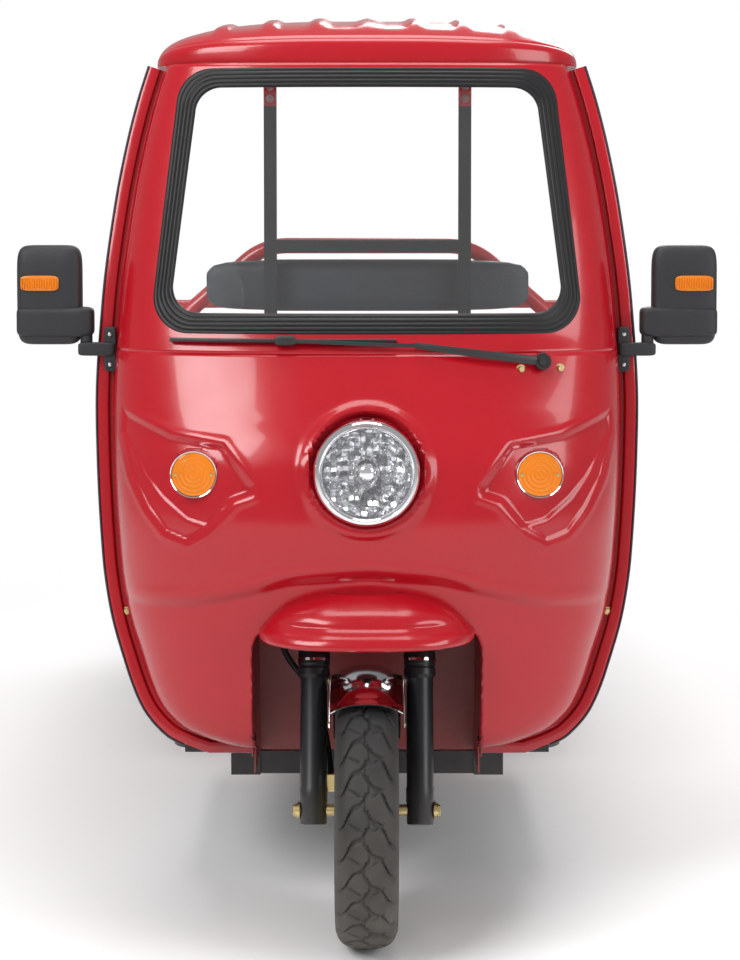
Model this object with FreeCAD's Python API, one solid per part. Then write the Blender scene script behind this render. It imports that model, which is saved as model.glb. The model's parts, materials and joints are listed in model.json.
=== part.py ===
"""Electric cargo tricycle with a half cab: one steered wheel in front, a driven rear axle, a dropside bed.

Millimetres, +Z up, the ground at Z 0. The vehicle faces -Y, so its own left side is +X.
The origin is on the ground, midway along the length and the width.
Each function makes one named sub-part; NODES at the end lists them all.
"""

import FreeCAD, Part
import math
import os

V = FreeCAD.Vector
X_AXIS, Y_AXIS, Z_AXIS = V(1, 0, 0), V(0, 1, 0), V(0, 0, 1)

# Overall sizes
LENGTH = 3200.0
WHEELBASE = 2150.0
CAB_WIDTH = 1054.0
BED_WIDTH = 1096.0
BED_LENGTH = 1500.0
FLOOR_HEIGHT = 268.0
FLOOR_PLATE = 4.0
FIT = 0.3
MOVING_GAP = 6.0

# Tyres and wheels
TYRE_RADIUS = 250.0
TYRE_WIDTH = 116.0
RIM_RADIUS = 152.0
REAR_TRACK = 880.0
HUB_RADIUS = 36.0
AXLE_RADIUS = 7.5
DRUM_RADIUS = 66.0
REAR_SPINDLE_RADIUS = 18.0
RUNNING_FIT = 0.1

# Steering and fork
RAKE = math.radians(17.0)
STEERING_SETBACK = 42.0
FORK_HALF_SPACING = 100.0
LEG_RADIUS = 25.0
LEG_CAP_RADIUS = 30.5
LEG_LENGTH = 300.0
STANCHION_RADIUS = 18.5
YOKE_DISTANCE = 395.0
YOKE_THICKNESS = 36.0
STEM_RADIUS = 14.0
STEM_LENGTH = 800.0
HEAD_TUBE_RADIUS = 30.0
HEAD_TUBE_LENGTH = 170.0
HANDLEBAR_RADIUS = 11.0
GRIP_RADIUS = 16.5
GRIP_LENGTH = 120.0
FENDER_RADIUS = 268.0
FENDER_HALF = 66.0
FENDER_FRONT = 32.0
FENDER_SWEEP = 104.0
CABLE_RADIUS = 6.0
CABLE_BEND = 55.0

# Cab shell
SHELL_WALL = 5.0
SHELL_TOP = 1655.0
SHELL_BOTTOM = 318.0
BRIM_WIDTH = 42.0
BRIM_DEPTH = 14.0
WHEEL_OPENING_HALF = 214.0
FLOOR_HALF_WIDTH = 400.0
FLOOR_FRONT = 400.0
WHEEL_OPENING_TOP = 612.0
WELL_TOP = 690.0
WELL_OPENING_RADIUS = 165.0
HEADLIGHT_HEIGHT = 892.0
HEADLIGHT_RADIUS = 97.0
HEADLIGHT_FRONT = -91.0
HEADLIGHT_HOLE = 88.0
INDICATOR_X = 319.0
INDICATOR_HEIGHT = 883.0
INDICATOR_RADIUS = 44.0
INDICATOR_FRONT = -26.0

# Roof: its crest from the side as distance behind the front axle and height
ROOF_LINE = [
    (240.0, 1702.0), (290.0, 1726.0), (400.0, 1746.0), (600.0, 1766.0), (850.0, 1776.0), (1330.0, 1776.0),
]
ROOF_HALF_WIDTH = 436.0
ROOF_SHOULDER = 400.0
ROOF_RADIUS = 38.0
ROOF_WALL = 6.0
ROOF_RIBS = 7
ROOF_RIB_PITCH = 96.0
ROOF_RIB_WIDTH = 40.0
ROOF_RIB_HEIGHT = 8.0

# Windscreen: a rounded trapezoid seen from the front, in a plane that leans back
SCREEN_BOTTOM = 1135.0
SCREEN_TOP = 1648.0
SCREEN_HALF_BOTTOM = 410.0
SCREEN_HALF_TOP = 374.0
SCREEN_CORNER = 70.0
SEAL_WIDTH = 40.0
GLASS_THICKNESS = 5.0

# Door mirrors
MIRROR_CENTRE_X = 619.0
MIRROR_CENTRE_Z = 1205.0
MIRROR_WIDTH = 128.0
MIRROR_HEIGHT = 195.0
MIRROR_DEPTH = 62.0
MIRROR_BACK = 215.0

# Chassis
RAIL_WIDTH = 60.0
RAIL_HEIGHT = 50.0
RAIL_HALF_SPACING = 248.0
RAIL_FRONT = 385.0
REAR_RAIL_TOP = 500.0
KICK_START = 1330.0
KICK_LENGTH = 200.0

# Bed
BED_FLOOR_TOP = 560.0
BED_PLATE = 6.0
BED_SIDE_HEIGHT = 320.0
BED_SIDE_THICKNESS = 30.0
HINGE_PIN_RADIUS = 6.0
KNUCKLE_RADIUS = 12.0
KNUCKLE_LENGTH = 60.0
BODY_BOLT_RADIUS = 5.5
BODY_BOLT_X = 760.0
BODY_BOLT_Y = 1200.0
TOW_EYE_RADIUS = 11.0

# Seat and rear frame of the cab, as distances behind the front axle
SEAT_FRONT = 850.0
SEAT_BACK = 1190.0
SEAT_HALF_WIDTH = 430.0
SEAT_BOX_TOP = 700.0
CUSHION_THICKNESS = 80.0
POST_BACK = 1225.0
POST_SIZE = 30.0
POST_HALF_SPACING = 233.0
BACKREST_BACK = 1290.0
BACKREST_THICKNESS = 50.0
BACKREST_BOTTOM = 1119.0
BACKREST_HEIGHT = 147.0
BACKREST_HALF_WIDTH = 405.0
HOOP_BACK = 1340.0
HOOP_RADIUS = 19.0
HOOP_TOP = 1288.0
HOOP_HALF_WIDTH = 480.0
POST_TOP = 1690.0

SHELL_STATIONS = [318.0, 345.0, 390.0, 450.0, 540.0, 640.0, 740.0, 820.0, 900.0, 1000.0, 1110.0,
                  1240.0, 1380.0, 1520.0, 1655.0]
# The widest outline of the cab from the front: height, and how far it lies inside the cab's half width
OUTLINE = [
    (316.0, 222.0), (330.0, 180.0), (351.0, 138.0), (406.0, 90.0), (501.0, 53.0), (596.0, 27.0),
    (695.0, 13.0), (890.0, 2.0), (990.0, 0.0), (1186.0, 11.0), (1384.0, 34.0), (1486.0, 52.0),
    (1585.0, 75.0), (1665.0, 99.0),
]
# The cab's nose on the centre line: height, and distance behind the front axle
NOSE = [
    (316.0, 75.0), (350.0, 45.0), (420.0, 18.0), (500.0, -2.0), (600.0, -25.0), (700.0, -50.0),
    (800.0, -68.0), (892.0, -58.0), (1000.0, -8.0), (1100.0, 42.0), (1135.0, 60.0), (1400.0, 152.0),
    (1665.0, 244.0),
]
# The plane of the side openings: height, and distance behind the front axle
SIDE_EDGE = [
    (316.0, 180.0), (420.0, 202.0), (600.0, 222.0), (900.0, 240.0), (1200.0, 260.0), (1450.0, 305.0),
    (1665.0, 345.0),
]
CROSS_POWER = 2.5


def at(distance):
    """The Y of a place that far behind the front axle."""
    return TYRE_RADIUS - LENGTH / 2 + distance


REAR_AXLE = WHEELBASE
BED_REAR = LENGTH - TYRE_RADIUS - 16.0
BED_FRONT = BED_REAR - BED_LENGTH
WHEEL_HEIGHT = TYRE_RADIUS
HEADBOARD_FRONT = at(BED_FRONT) - BED_SIDE_THICKNESS


def smooth(points, where):
    """A monotone cubic curve through the points (place, value), read at one place."""
    n = len(points)
    steps = [(points[i + 1][1] - points[i][1]) / (points[i + 1][0] - points[i][0]) for i in range(n - 1)]
    slopes = [steps[0]]
    for a, b in zip(steps, steps[1:]):
        slopes.append(0.0 if a * b <= 0 else 2 * a * b / (a + b))
    slopes.append(steps[-1])
    where = min(max(where, points[0][0]), points[-1][0])
    i = next(k for k in range(n - 1) if where <= points[k + 1][0])
    (x0, y0), (x1, y1) = points[i], points[i + 1]
    h = x1 - x0
    t = (where - x0) / h
    return (
        (2 * t**3 - 3 * t**2 + 1) * y0 + (t**3 - 2 * t**2 + t) * h * slopes[i]
        + (3 * t**2 - 2 * t**3) * y1 + (t**3 - t**2) * h * slopes[i + 1]
    )


def outline(z):
    return CAB_WIDTH / 2 - smooth(OUTLINE, z)


def nose(z):
    return at(smooth(NOSE, z))


def side_edge(z):
    return at(smooth(SIDE_EDGE, z))


def steering_point(distance, x=0.0, forward=0.0):
    """A point that far up the steering axis from the height of the front axle, and that far square to it."""
    return V(
        x,
        at(STEERING_SETBACK) + distance * math.sin(RAKE) - forward * math.cos(RAKE),
        WHEEL_HEIGHT + distance * math.cos(RAKE) + forward * math.sin(RAKE),
    )


STEERING_DIRECTION = V(0, math.sin(RAKE), math.cos(RAKE))
LEG_FORWARD = STEERING_SETBACK * math.cos(RAKE)
LEG_SHIFT = STEERING_SETBACK * math.sin(RAKE)


def leg_point(distance, side):
    """A point on a fork leg's axis, that far up from the front axle."""
    return V(
        side * FORK_HALF_SPACING,
        at(0) + distance * math.sin(RAKE),
        WHEEL_HEIGHT + distance * math.cos(RAKE),
    )


# ---------------------------------------------------------------- shape helpers
def box(x0, x1, y0, y1, z0, z1):
    return Part.makeBox(x1 - x0, y1 - y0, z1 - z0, V(x0, y0, z0))


def rounded_box(x0, x1, y0, y1, z0, z1, radius, direction=Z_AXIS):
    """A box with the edges along one direction rounded."""
    shape = box(x0, x1, y0, y1, z0, z1)
    edges = [e for e in shape.Edges if abs(e.tangentAt(e.FirstParameter).dot(direction)) > 0.99]
    return shape.makeFillet(radius, edges)


def cylinder(radius, start, direction, length):
    return Part.makeCylinder(radius, length, start, direction)


def rod(radius, start, end):
    return cylinder(radius, start, end - start, (end - start).Length)


def ring(outer, inner, start, direction, length):
    return cylinder(outer, start, direction, length).cut(
        cylinder(inner, start - direction * 1.0, direction, length + 2.0)
    )


def fuse(shapes):
    shapes = list(shapes)
    whole = shapes[0] if len(shapes) == 1 else shapes[0].multiFuse(shapes[1:])
    return whole.removeSplitter()


def both(shape):
    """A shape and its mirror across the middle plane, as separate solids."""
    return Part.makeCompound([shape, mirrored(shape)])


def mirrored(shape):
    return shape.mirror(V(0, 0, 0), X_AXIS)


def extrude(points, direction):
    """A flat polygon of points, pushed along a direction."""
    return Part.Face(Part.makePolygon(points + [points[0]])).extrude(direction)


def rounded_path(points, radius):
    """Straight runs between the points, joined by tangent arcs of one radius."""
    edges = []
    start = points[0]
    for before, corner, after in zip(points, points[1:], points[2:]):
        a = (before - corner).normalize()
        b = (after - corner).normalize()
        half = a.getAngle(b) / 2
        back = radius / math.tan(half)
        first, last = corner + a * back, corner + b * back
        middle = corner + (a + b).normalize() * (radius / math.sin(half) - radius)
        edges.append(Part.LineSegment(start, first).toShape())
        edges.append(Part.Arc(first, middle, last).toShape())
        start = last
    edges.append(Part.LineSegment(start, points[-1]).toShape())
    return Part.Wire(edges)


def bent_tube(points, bend, radius):
    """A round bar along straight runs and arcs."""
    path = rounded_path(points, bend)
    circle = Part.Wire(Part.makeCircle(radius, points[0], points[1] - points[0]))
    return path.makePipeShell([circle], True, True)


def rounded_polygon(points, radius):
    """A closed flat outline with rounded corners, as a wire."""
    edges = []
    n = len(points)
    ends = []
    for i in range(n):
        corner = points[i]
        a = (points[i - 1] - corner).normalize()
        b = (points[(i + 1) % n] - corner).normalize()
        half = a.getAngle(b) / 2
        back = radius / math.tan(half)
        middle = corner + (a + b).normalize() * (radius / math.sin(half) - radius)
        ends.append((corner + a * back, middle, corner + b * back))
    for i in range(n):
        first, middle, last = ends[i]
        edges.append(Part.Arc(first, middle, last).toShape())
        edges.append(Part.LineSegment(last, ends[(i + 1) % n][0]).toShape())
    return Part.Wire(edges)


def revolved(points, centre, axis, angle=360.0):
    """A closed polygon turned about an axis."""
    return Part.Face(Part.makePolygon(points + [points[0]])).revolve(centre, axis, angle)


def power(value, exponent):
    return math.copysign(abs(value) ** exponent, value)


def bow_section(z, half_width, front, back, tail=0.0, steps=16):
    """A closed level section: a rounded bow in front, straight sides of the tail's length, a flat back."""
    points = []
    for i in range(steps + 1):
        angle = math.pi * (i / steps - 0.5)
        points.append(V(
            half_width * power(math.sin(angle), 2 / CROSS_POWER),
            back - (back - front) * power(math.cos(angle), 2 / CROSS_POWER),
            z,
        ))
    curve = Part.BSplineCurve()
    curve.interpolate(points)
    corners = [points[-1], points[0]]
    if tail:
        corners = [points[-1], points[-1] + V(0, tail, 0), points[0] + V(0, tail, 0), points[0]]
    lines = [Part.LineSegment(a, b).toShape() for a, b in zip(corners, corners[1:])]
    return Part.Wire([curve.toShape()] + lines)


# ---------------------------------------------------------------- cab shell
def shell_body(inset):
    """The cab's front as a closed body, made smaller by the inset and then open to the rear."""
    sections = []
    for z in SHELL_STATIONS:
        height = z + (inset if z == SHELL_STATIONS[0] else 0.0)
        half = outline(z) - BRIM_WIDTH + SHELL_WALL - inset
        tail = 60.0 if inset else 0.0
        sections.append(bow_section(height, half, nose(z) + inset, side_edge(z), tail))
    return Part.makeLoft(sections, True, False)


def screen_outline(inset, y):
    """The windscreen's rounded outline in a plane across the vehicle."""
    corners = [
        V(-(SCREEN_HALF_BOTTOM - inset), y, SCREEN_BOTTOM + inset),
        V(SCREEN_HALF_BOTTOM - inset, y, SCREEN_BOTTOM + inset),
        V(SCREEN_HALF_TOP - inset, y, SCREEN_TOP - inset),
        V(-(SCREEN_HALF_TOP - inset), y, SCREEN_TOP - inset),
    ]
    return rounded_polygon(corners, SCREEN_CORNER - inset / 2)


def screen_prism(inset):
    y = at(-200.0)
    return Part.Face(screen_outline(inset, y)).extrude(V(0, 700.0, 0))


def wheel_opening():
    """The arch that the front wheel turns in, as a body pushed through the cab's front."""
    half = WHEEL_OPENING_HALF
    shape = box(-half, half, at(-300.0), at(420.0), SHELL_BOTTOM - 60.0, WHEEL_OPENING_TOP)
    edges = [
        e for e in shape.Edges
        if abs(e.tangentAt(e.FirstParameter).y) > 0.99 and e.CenterOfMass.z > WHEEL_OPENING_TOP - 1
    ]
    return shape.makeFillet(70.0, edges)


def brim():
    """The flange round the cab's side and bottom edges, as one bead on each side of the wheel opening."""
    heights = [1655.0, 1585.0, 1486.0, 1384.0, 1240.0, 1088.0, 940.0, 791.0, 695.0, 596.0, 501.0, 440.0,
               395.0, 362.0, 340.0, 325.0]
    centres = [V(outline(z), side_edge(z), z) for z in heights]
    centres.append(V(WHEEL_OPENING_HALF + 6.0 + FIT, side_edge(SHELL_BOTTOM), 316.0))
    sections = []
    for i, outer in enumerate(centres):
        before, after = centres[max(i - 1, 0)], centres[min(i + 1, len(centres) - 1)]
        along = after - before
        inward = V(along.z, 0, -along.x).normalize()
        if inward.x > 0:
            inward = -inward
        inward = V(-1, 0, 0) if i == 0 else (V(0, 0, 1) if i == len(centres) - 1 else inward)
        inner = outer + inward * BRIM_WIDTH
        depth = V(0, BRIM_DEPTH, 0)
        sections.append(Part.makePolygon([outer - depth, outer, inner, inner - depth, outer - depth]))
    return Part.makeLoft(sections, True, True)


def front_shell():
    skin = shell_body(0.0).cut(shell_body(SHELL_WALL))
    side = brim()
    skin = skin.multiFuse([side, mirrored(side)])
    skin = skin.cut(screen_prism(SEAL_WIDTH / 2))
    skin = skin.cut(wheel_opening())
    holes = [cylinder(HEADLIGHT_HOLE, V(0, at(-200.0), HEADLIGHT_HEIGHT), Y_AXIS, 300.0)]
    for side in (-1, 1):
        start = V(side * INDICATOR_X, at(-200.0), INDICATOR_HEIGHT)
        holes.append(cylinder(INDICATOR_RADIUS + FIT, start, Y_AXIS, 300.0))
    skin = skin.cut(Part.makeCompound(holes))
    clear = box(-CAB_WIDTH, CAB_WIDTH, at(-400.0), at(800.0), SHELL_TOP, SHELL_TOP + 200.0)
    skin = skin.cut(clear)
    return largest(skin)


def largest(shape):
    return max(shape.Solids, key=lambda s: s.Volume)


ROOF_BASE = SHELL_TOP + FIT


def roof_height(distance):
    return smooth(ROOF_LINE, distance)


def roof_body(inset):
    """The roof as a closed body, bowed in plan and arched from front to back, with round shoulders."""
    front, rear = ROOF_LINE[0][0] + inset, ROOF_LINE[-1][0] + (10.0 if inset else 0.0)
    base = ROOF_BASE - (5.0 if inset else 0.0)
    distances = [front + (rear - front) * share for share in (0.0, 0.04, 0.1, 0.2, 0.35, 0.55, 0.75, 1.0)]
    crest = Part.BSplineCurve()
    crest.interpolate([V(-600.0, at(d), roof_height(d) - inset) for d in distances])
    ends = crest.toShape().Vertexes
    low = [V(-600.0, at(rear), base), V(-600.0, at(front), base)]
    side = Part.Wire([
        crest.toShape(), Part.LineSegment(ends[1].Point, low[0]).toShape(),
        Part.LineSegment(low[0], low[1]).toShape(), Part.LineSegment(low[1], ends[0].Point).toShape(),
    ])
    lengthwise = Part.Face(side).extrude(V(1200.0, 0, 0))
    half = ROOF_HALF_WIDTH - inset
    bow = bow_section(base, half, at(front), at(ROOF_SHOULDER))
    plan = Part.Face(bow).extrude(V(0, 0, 200.0))
    plan = plan.fuse(box(-half, half, at(ROOF_SHOULDER), at(rear), base, base + 200.0)).removeSplitter()
    body = lengthwise.common(plan)
    rims = [e for e in body.Edges if e.BoundBox.ZMin > ROOF_BASE + 20.0 and e.BoundBox.YMin < at(rear) - 5.0]
    return body.makeFillet(ROOF_RADIUS - inset, rims)


def roof_shell():
    """The roof skin with its lengthwise ribs, and the two tabs that the posts bolt to."""
    skin = largest(roof_body(0.0).cut(roof_body(ROOF_WALL)))
    pieces = [skin]
    first, last = ROOF_LINE[0][0] + 60.0, ROOF_LINE[-1][0] - 30.0
    distances = [first + (last - first) * i / 8 for i in range(9)]
    for i in range(ROOF_RIBS):
        x = ROOF_RIB_PITCH * (i - (ROOF_RIBS - 1) / 2) - ROOF_RIB_WIDTH / 2
        upper = [V(x, at(d), roof_height(d) + ROOF_RIB_HEIGHT) for d in distances]
        lower = [V(x, at(d), roof_height(d) - ROOF_WALL / 2) for d in reversed(distances)]
        pieces.append(extrude(upper + lower, V(ROOF_RIB_WIDTH, 0, 0)))
    for side in (-1, 1):
        x, y = side * POST_HALF_SPACING, at(POST_BACK) - POST_SIZE / 2
        pieces.append(box(x - POST_SIZE / 2, x + POST_SIZE / 2, y - 4.0, y, POST_TOP - 70.0,
                          roof_height(POST_BACK) - ROOF_WALL / 2))
    return fuse(pieces)


def edge_trim():
    """The rubber strip on the outer edge of the brim."""
    heights = [1650.0, 1585.0, 1486.0, 1384.0, 1240.0, 1088.0, 940.0, 791.0, 695.0, 596.0, 501.0, 440.0,
               395.0]
    sections = []
    for z in heights:
        outer, y = outline(z), side_edge(z)
        sections.append(Part.makePolygon([
            V(outer + FIT, y - BRIM_DEPTH + 2, z), V(outer + 4.0, y - BRIM_DEPTH + 2, z),
            V(outer + 4.0, y + 2, z), V(outer + FIT, y + 2, z), V(outer + FIT, y - BRIM_DEPTH + 2, z),
        ]))
    return both(Part.makeLoft(sections, True, True))


def nose_cowl():
    """The hood over the fork: a shell that stands out of the cab's nose above the wheel opening."""
    stations = [(577.0, 195.0, -128.0), (594.0, 198.0, -122.0), (620.0, 176.0, -106.0), (645.0, 130.0, -80.0),
                (664.0, 70.0, -56.0)]

    def body(inset):
        sections = []
        for z, half, front in stations:
            height = z - (15.0 if inset and z == stations[0][0] else 0.0)
            height -= inset if z == stations[-1][0] else 0.0
            sections.append(bow_section(height, half - inset, at(front) + inset, nose(z) + 40.0, 10.0))
        return Part.makeLoft(sections, True, False)

    skin = body(0.0).cut(body(4.0))
    return min(skin.cut(shell_body(-FIT)).Solids, key=lambda solid: solid.CenterOfMass.y)


def wheel_well():
    """The panel behind the front wheel: a sloping back, two side walls and a top round the head tube."""
    half, wall = WHEEL_OPENING_HALF + 6.0, 3.0
    low, high = FLOOR_HEIGHT + FLOOR_PLATE + FIT, WELL_TOP
    inside = SHELL_WALL + 3.0
    back_bottom, back_top = at(379.0), at(300.0)
    back = extrude([
        V(-half, back_bottom, low), V(-half, back_bottom + wall, low), V(-half, back_top + wall, high + wall),
        V(-half, back_top, high + wall),
    ], V(2 * half, 0, 0))
    xs = [half * (i / 6 - 1) for i in range(13)]
    front = [V(x, nose_at(x, high) + inside, high) for x in xs]
    top = extrude(front + [V(half, back_top + wall, high), V(-half, back_top + wall, high)], V(0, 0, wall))
    opening = cylinder(WELL_OPENING_RADIUS, V(0, steering_point(450.0).y, high - 5.0), Z_AXIS, 20.0)
    top = top.cut(opening)
    bottom = SHELL_BOTTOM + 8.0
    heights = [bottom + (high - bottom) * i / 8 for i in range(9)]
    walls = []
    for x in (-half, half - wall):
        edge = [V(x, nose_at(half, z) + inside, z) for z in heights]
        step = [V(x, at(188.0), bottom), V(x, at(188.0), low)]
        walls.append(extrude(
            step[::-1] + edge + [V(x, back_top + wall, high), V(x, back_bottom + wall, low)], V(wall, 0, 0)))
    return fuse([back, top] + walls)


def windscreen_seal():
    """The rubber that holds the glass: a lip on the cab's skin, and a thicker band inside its edge."""
    outer, edge, inner = screen_prism(0.0), screen_prism(SEAL_WIDTH / 2 + FIT), screen_prism(SEAL_WIDTH)
    lip = shell_body(-7.0).cut(shell_body(-FIT)).common(outer.cut(inner))
    band = shell_body(-FIT).cut(shell_body(SHELL_WALL + 6.0)).common(edge.cut(inner))
    glass_room = shell_body(FIT).cut(shell_body(GLASS_THICKNESS + FIT))
    band = band.cut(glass_room.common(screen_prism(SEAL_WIDTH - 12.0 - FIT)))
    return largest(lip.fuse(band))


def windscreen():
    pane = shell_body(2 * FIT).cut(shell_body(GLASS_THICKNESS))
    return largest(pane.common(screen_prism(SEAL_WIDTH - 12.0)))


def headlight():
    """The round lamp: a bezel and lens in front, a tapering bowl behind, in the hole in the cab's nose."""
    centre = V(0, at(HEADLIGHT_FRONT), HEADLIGHT_HEIGHT)
    lens = Part.makeCone(HEADLIGHT_RADIUS - 22.0, HEADLIGHT_RADIUS - 10.0, 8.0, centre - Y_AXIS * 8.0, Y_AXIS)
    bezel = cylinder(HEADLIGHT_RADIUS, centre, Y_AXIS, 18.0)
    barrel = cylinder(HEADLIGHT_HOLE - FIT, centre + Y_AXIS * 18.0, Y_AXIS, 50.0)
    bowl = Part.makeCone(HEADLIGHT_HOLE - FIT, 40.0, 50.0, centre + Y_AXIS * 68.0, Y_AXIS)
    return fuse([lens, bezel, barrel, bowl])


def front_indicators():
    """Round amber lamps, each standing in a hole in the cab's cheek."""
    start = V(INDICATOR_X, at(INDICATOR_FRONT), INDICATOR_HEIGHT)
    return both(cylinder(INDICATOR_RADIUS, start, Y_AXIS, 60.0))


def wiper():
    """The arm and blade that park below the glass, on one spindle."""
    spindle = V(152.0, nose_at(152.0, 1108.0), 1108.0)
    joint = V(-32.0, nose_at(-32.0, 1128.0), 1128.0)
    post = rod(9.0, spindle + V(0, -28.0, 0), spindle + V(0, -3.6, 0))
    arm = rod(6.0, spindle + V(0, -20.0, 0), joint + V(0, -22.0, 0))
    link = rod(6.0, joint + V(0, -24.0, 0), joint + V(0, -10.0, 0))
    ends = [V(x, nose_at(x, z) - 14.0, z) for x, z in ((-190.0, 1124.0), (30.0, 1126.0))]
    return largest(fuse([post, arm, link, rod(6.0, *ends)]))


def nose_at(x, z):
    """The Y of the cab's outer surface at a point seen from the front."""
    half = outline(z) - BRIM_WIDTH + SHELL_WALL
    share = min(abs(x) / half, 1.0)
    bow = (1 - share**CROSS_POWER) ** (1 / CROSS_POWER)
    return side_edge(z) - (side_edge(z) - nose(z)) * bow


def mirror():
    """A door mirror: a boxy head on a knuckle, an arm, and a foot on the front of the brim."""
    x0, x1 = MIRROR_CENTRE_X - MIRROR_WIDTH / 2, MIRROR_CENTRE_X + MIRROR_WIDTH / 2
    z0, z1 = MIRROR_CENTRE_Z - MIRROR_HEIGHT / 2, MIRROR_CENTRE_Z + MIRROR_HEIGHT / 2
    y0 = at(MIRROR_BACK)
    head = rounded_box(x0, x1, y0, y0 + MIRROR_DEPTH, z0, z1, 30.0, Y_AXIS)
    bracket = rounded_box(x0 - 24.0, x0 + 30.0, y0 + 4.0, y0 + 44.0, z0 + 30.0, z0 + 78.0, 10.0)
    pivot = cylinder(11.0, V(x0 - 8.0, y0 + 15.0, z0 - 10.0), Z_AXIS, 60.0)
    arm_z = z0 - 8.0
    foot_back = side_edge(arm_z - 44.0) - BRIM_DEPTH - 2 * FIT
    foot_x = outline(arm_z - 44.0) - BRIM_WIDTH + SHELL_WALL + 2 * FIT
    arm = rounded_box(foot_x, x0 + 6.0, foot_back - 26.0, foot_back, arm_z - 12.0, arm_z + 14.0, 6.0, X_AXIS)
    foot = rounded_box(foot_x, foot_x + 24.0, foot_back - 20.0, foot_back,
                       arm_z - 44.0, arm_z + 44.0, 5.0, X_AXIS)
    return fuse([head, bracket, pivot, arm, foot])


def mirror_left():
    return mirror()


def mirror_right():
    return mirrored(mirror())


# ---------------------------------------------------------------- chassis
def rail_profile(x):
    """One long rail seen from the side: low under the cab, raised behind it."""
    low, high = FLOOR_HEIGHT, REAR_RAIL_TOP
    rise_start, rise_end = at(KICK_START), at(KICK_START + KICK_LENGTH)
    rear = at(BED_REAR) - 60.0
    return [
        V(x, at(RAIL_FRONT), low - RAIL_HEIGHT), V(x, rise_start + 25.0, low - RAIL_HEIGHT),
        V(x, rise_end + 25.0, high - RAIL_HEIGHT), V(x, rear, high - RAIL_HEIGHT), V(x, rear, high),
        V(x, rise_end, high), V(x, rise_start, low), V(x, at(RAIL_FRONT), low),
    ]


def chassis_rails():
    x = RAIL_HALF_SPACING - RAIL_WIDTH / 2
    return both(extrude(rail_profile(x), V(RAIL_WIDTH, 0, 0)))


def cross_members():
    """Square tubes between the rails, low ones under the cab and high ones under the bed."""
    inner = RAIL_HALF_SPACING - RAIL_WIDTH / 2
    tubes = []
    for distance in (RAIL_FRONT + 4.0, 760.0, 1180.0):
        tubes.append(box(-inner, inner, at(distance), at(distance) + 46.0,
                         FLOOR_HEIGHT - RAIL_HEIGHT + 2.0, FLOOR_HEIGHT - 2.0))
    for y in (at(BED_FRONT) + 60.0, at(REAR_AXLE) - 330.0, at(REAR_AXLE) + 330.0, at(BED_REAR) - 110.0):
        tubes.append(box(-inner, inner, y, y + 46.0, REAR_RAIL_TOP - RAIL_HEIGHT + 2.0, REAR_RAIL_TOP - 2.0))
    return Part.makeCompound(tubes)


def steering_neck():
    """The head tube on two bent tubes that stand on the front cross member."""
    bottom = YOKE_DISTANCE + YOKE_THICKNESS / 2 + FIT
    foot_y = at(RAIL_FRONT) + 27.0
    head = cylinder(HEAD_TUBE_RADIUS, steering_point(bottom), STEERING_DIRECTION, HEAD_TUBE_LENGTH)
    joint = steering_point(bottom + HEAD_TUBE_LENGTH * 0.75)
    pieces = [head]
    for side in (-1, 1):
        foot = V(side * 120.0, foot_y, FLOOR_HEIGHT + 2.0)
        knee = V(side * 90.0, foot_y, joint.z - 77.0)
        pieces.append(bent_tube([foot, knee, joint + V(side * 8.0, 10.0, 0)], 60.0, 16.0))
    pieces.append(rod(12.0, V(-105.0, foot_y, 470.0), V(105.0, foot_y, 470.0)))
    pieces.append(box(-150.0, 150.0, foot_y - 19.0, foot_y + 19.0, FLOOR_HEIGHT - 2.0, FLOOR_HEIGHT + 3.0))
    bore = cylinder(STEM_RADIUS + RUNNING_FIT, steering_point(bottom - 5.0), STEERING_DIRECTION,
                    HEAD_TUBE_LENGTH + 10.0)
    return largest(fuse(pieces).cut(bore))


def floor_plate():
    """The cab's floor on the low rails, with a sloping toe board each side of the wheel well."""
    half, inner = FLOOR_HALF_WIDTH, WHEEL_OPENING_HALF + 9.0
    z0, z1 = FLOOR_HEIGHT, FLOOR_HEIGHT + FLOOR_PLATE
    front = at(FLOOR_FRONT)
    plate = rounded_box(-half, half, front, at(1190.0), z0, z1, 60.0)
    plate = plate.cut(box(-inner + 18.0, inner - 18.0, front - 20.0, at(RAIL_FRONT) + 48.0, z0 - 5.0, z1 + 5.0))
    y, lip, top = side_edge(SHELL_BOTTOM + 30.0) + FIT, SHELL_BOTTOM - FLOOR_PLATE, SHELL_BOTTOM + 30.0
    profile = [(y, lip), (y, top), (y + 4.0, top), (y + 4.0, lip + 5.0), (front + 4.0, z1), (front + 4.0, z0)]
    boards = [
        extrude([V(side * inner, b, c) for b, c in profile], V(side * (half - 45.0 - inner), 0, 0))
        for side in (-1, 1)
    ]
    return fuse([plate] + boards)


def battery_box():
    """The sealed box under the seat and between the rails."""
    half = RAIL_HALF_SPACING - RAIL_WIDTH / 2 - 8.0
    return rounded_box(-half, half, at(820.0), at(1165.0), 205.0, FLOOR_HEIGHT, 14.0)


# ---------------------------------------------------------------- seat and cab frame
def seat_box():
    """A hollow steel box under the seat, open below."""
    half = SEAT_HALF_WIDTH - 35.0
    front, back = at(SEAT_FRONT + 30.0), at(SEAT_BACK - 5.0)
    outer = rounded_box(-half, half, front, back, FLOOR_HEIGHT + FLOOR_PLATE, SEAT_BOX_TOP, 25.0)
    inner = box(-half + 4.0, half - 4.0, front + 4.0, back - 4.0, FLOOR_HEIGHT, SEAT_BOX_TOP - 4.0)
    return outer.cut(inner)


def seat_cushion():
    half = SEAT_HALF_WIDTH
    top = SEAT_BOX_TOP + CUSHION_THICKNESS
    return rounded_box(-half, half, at(SEAT_FRONT), at(SEAT_BACK), SEAT_BOX_TOP, top, 45.0)


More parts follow.
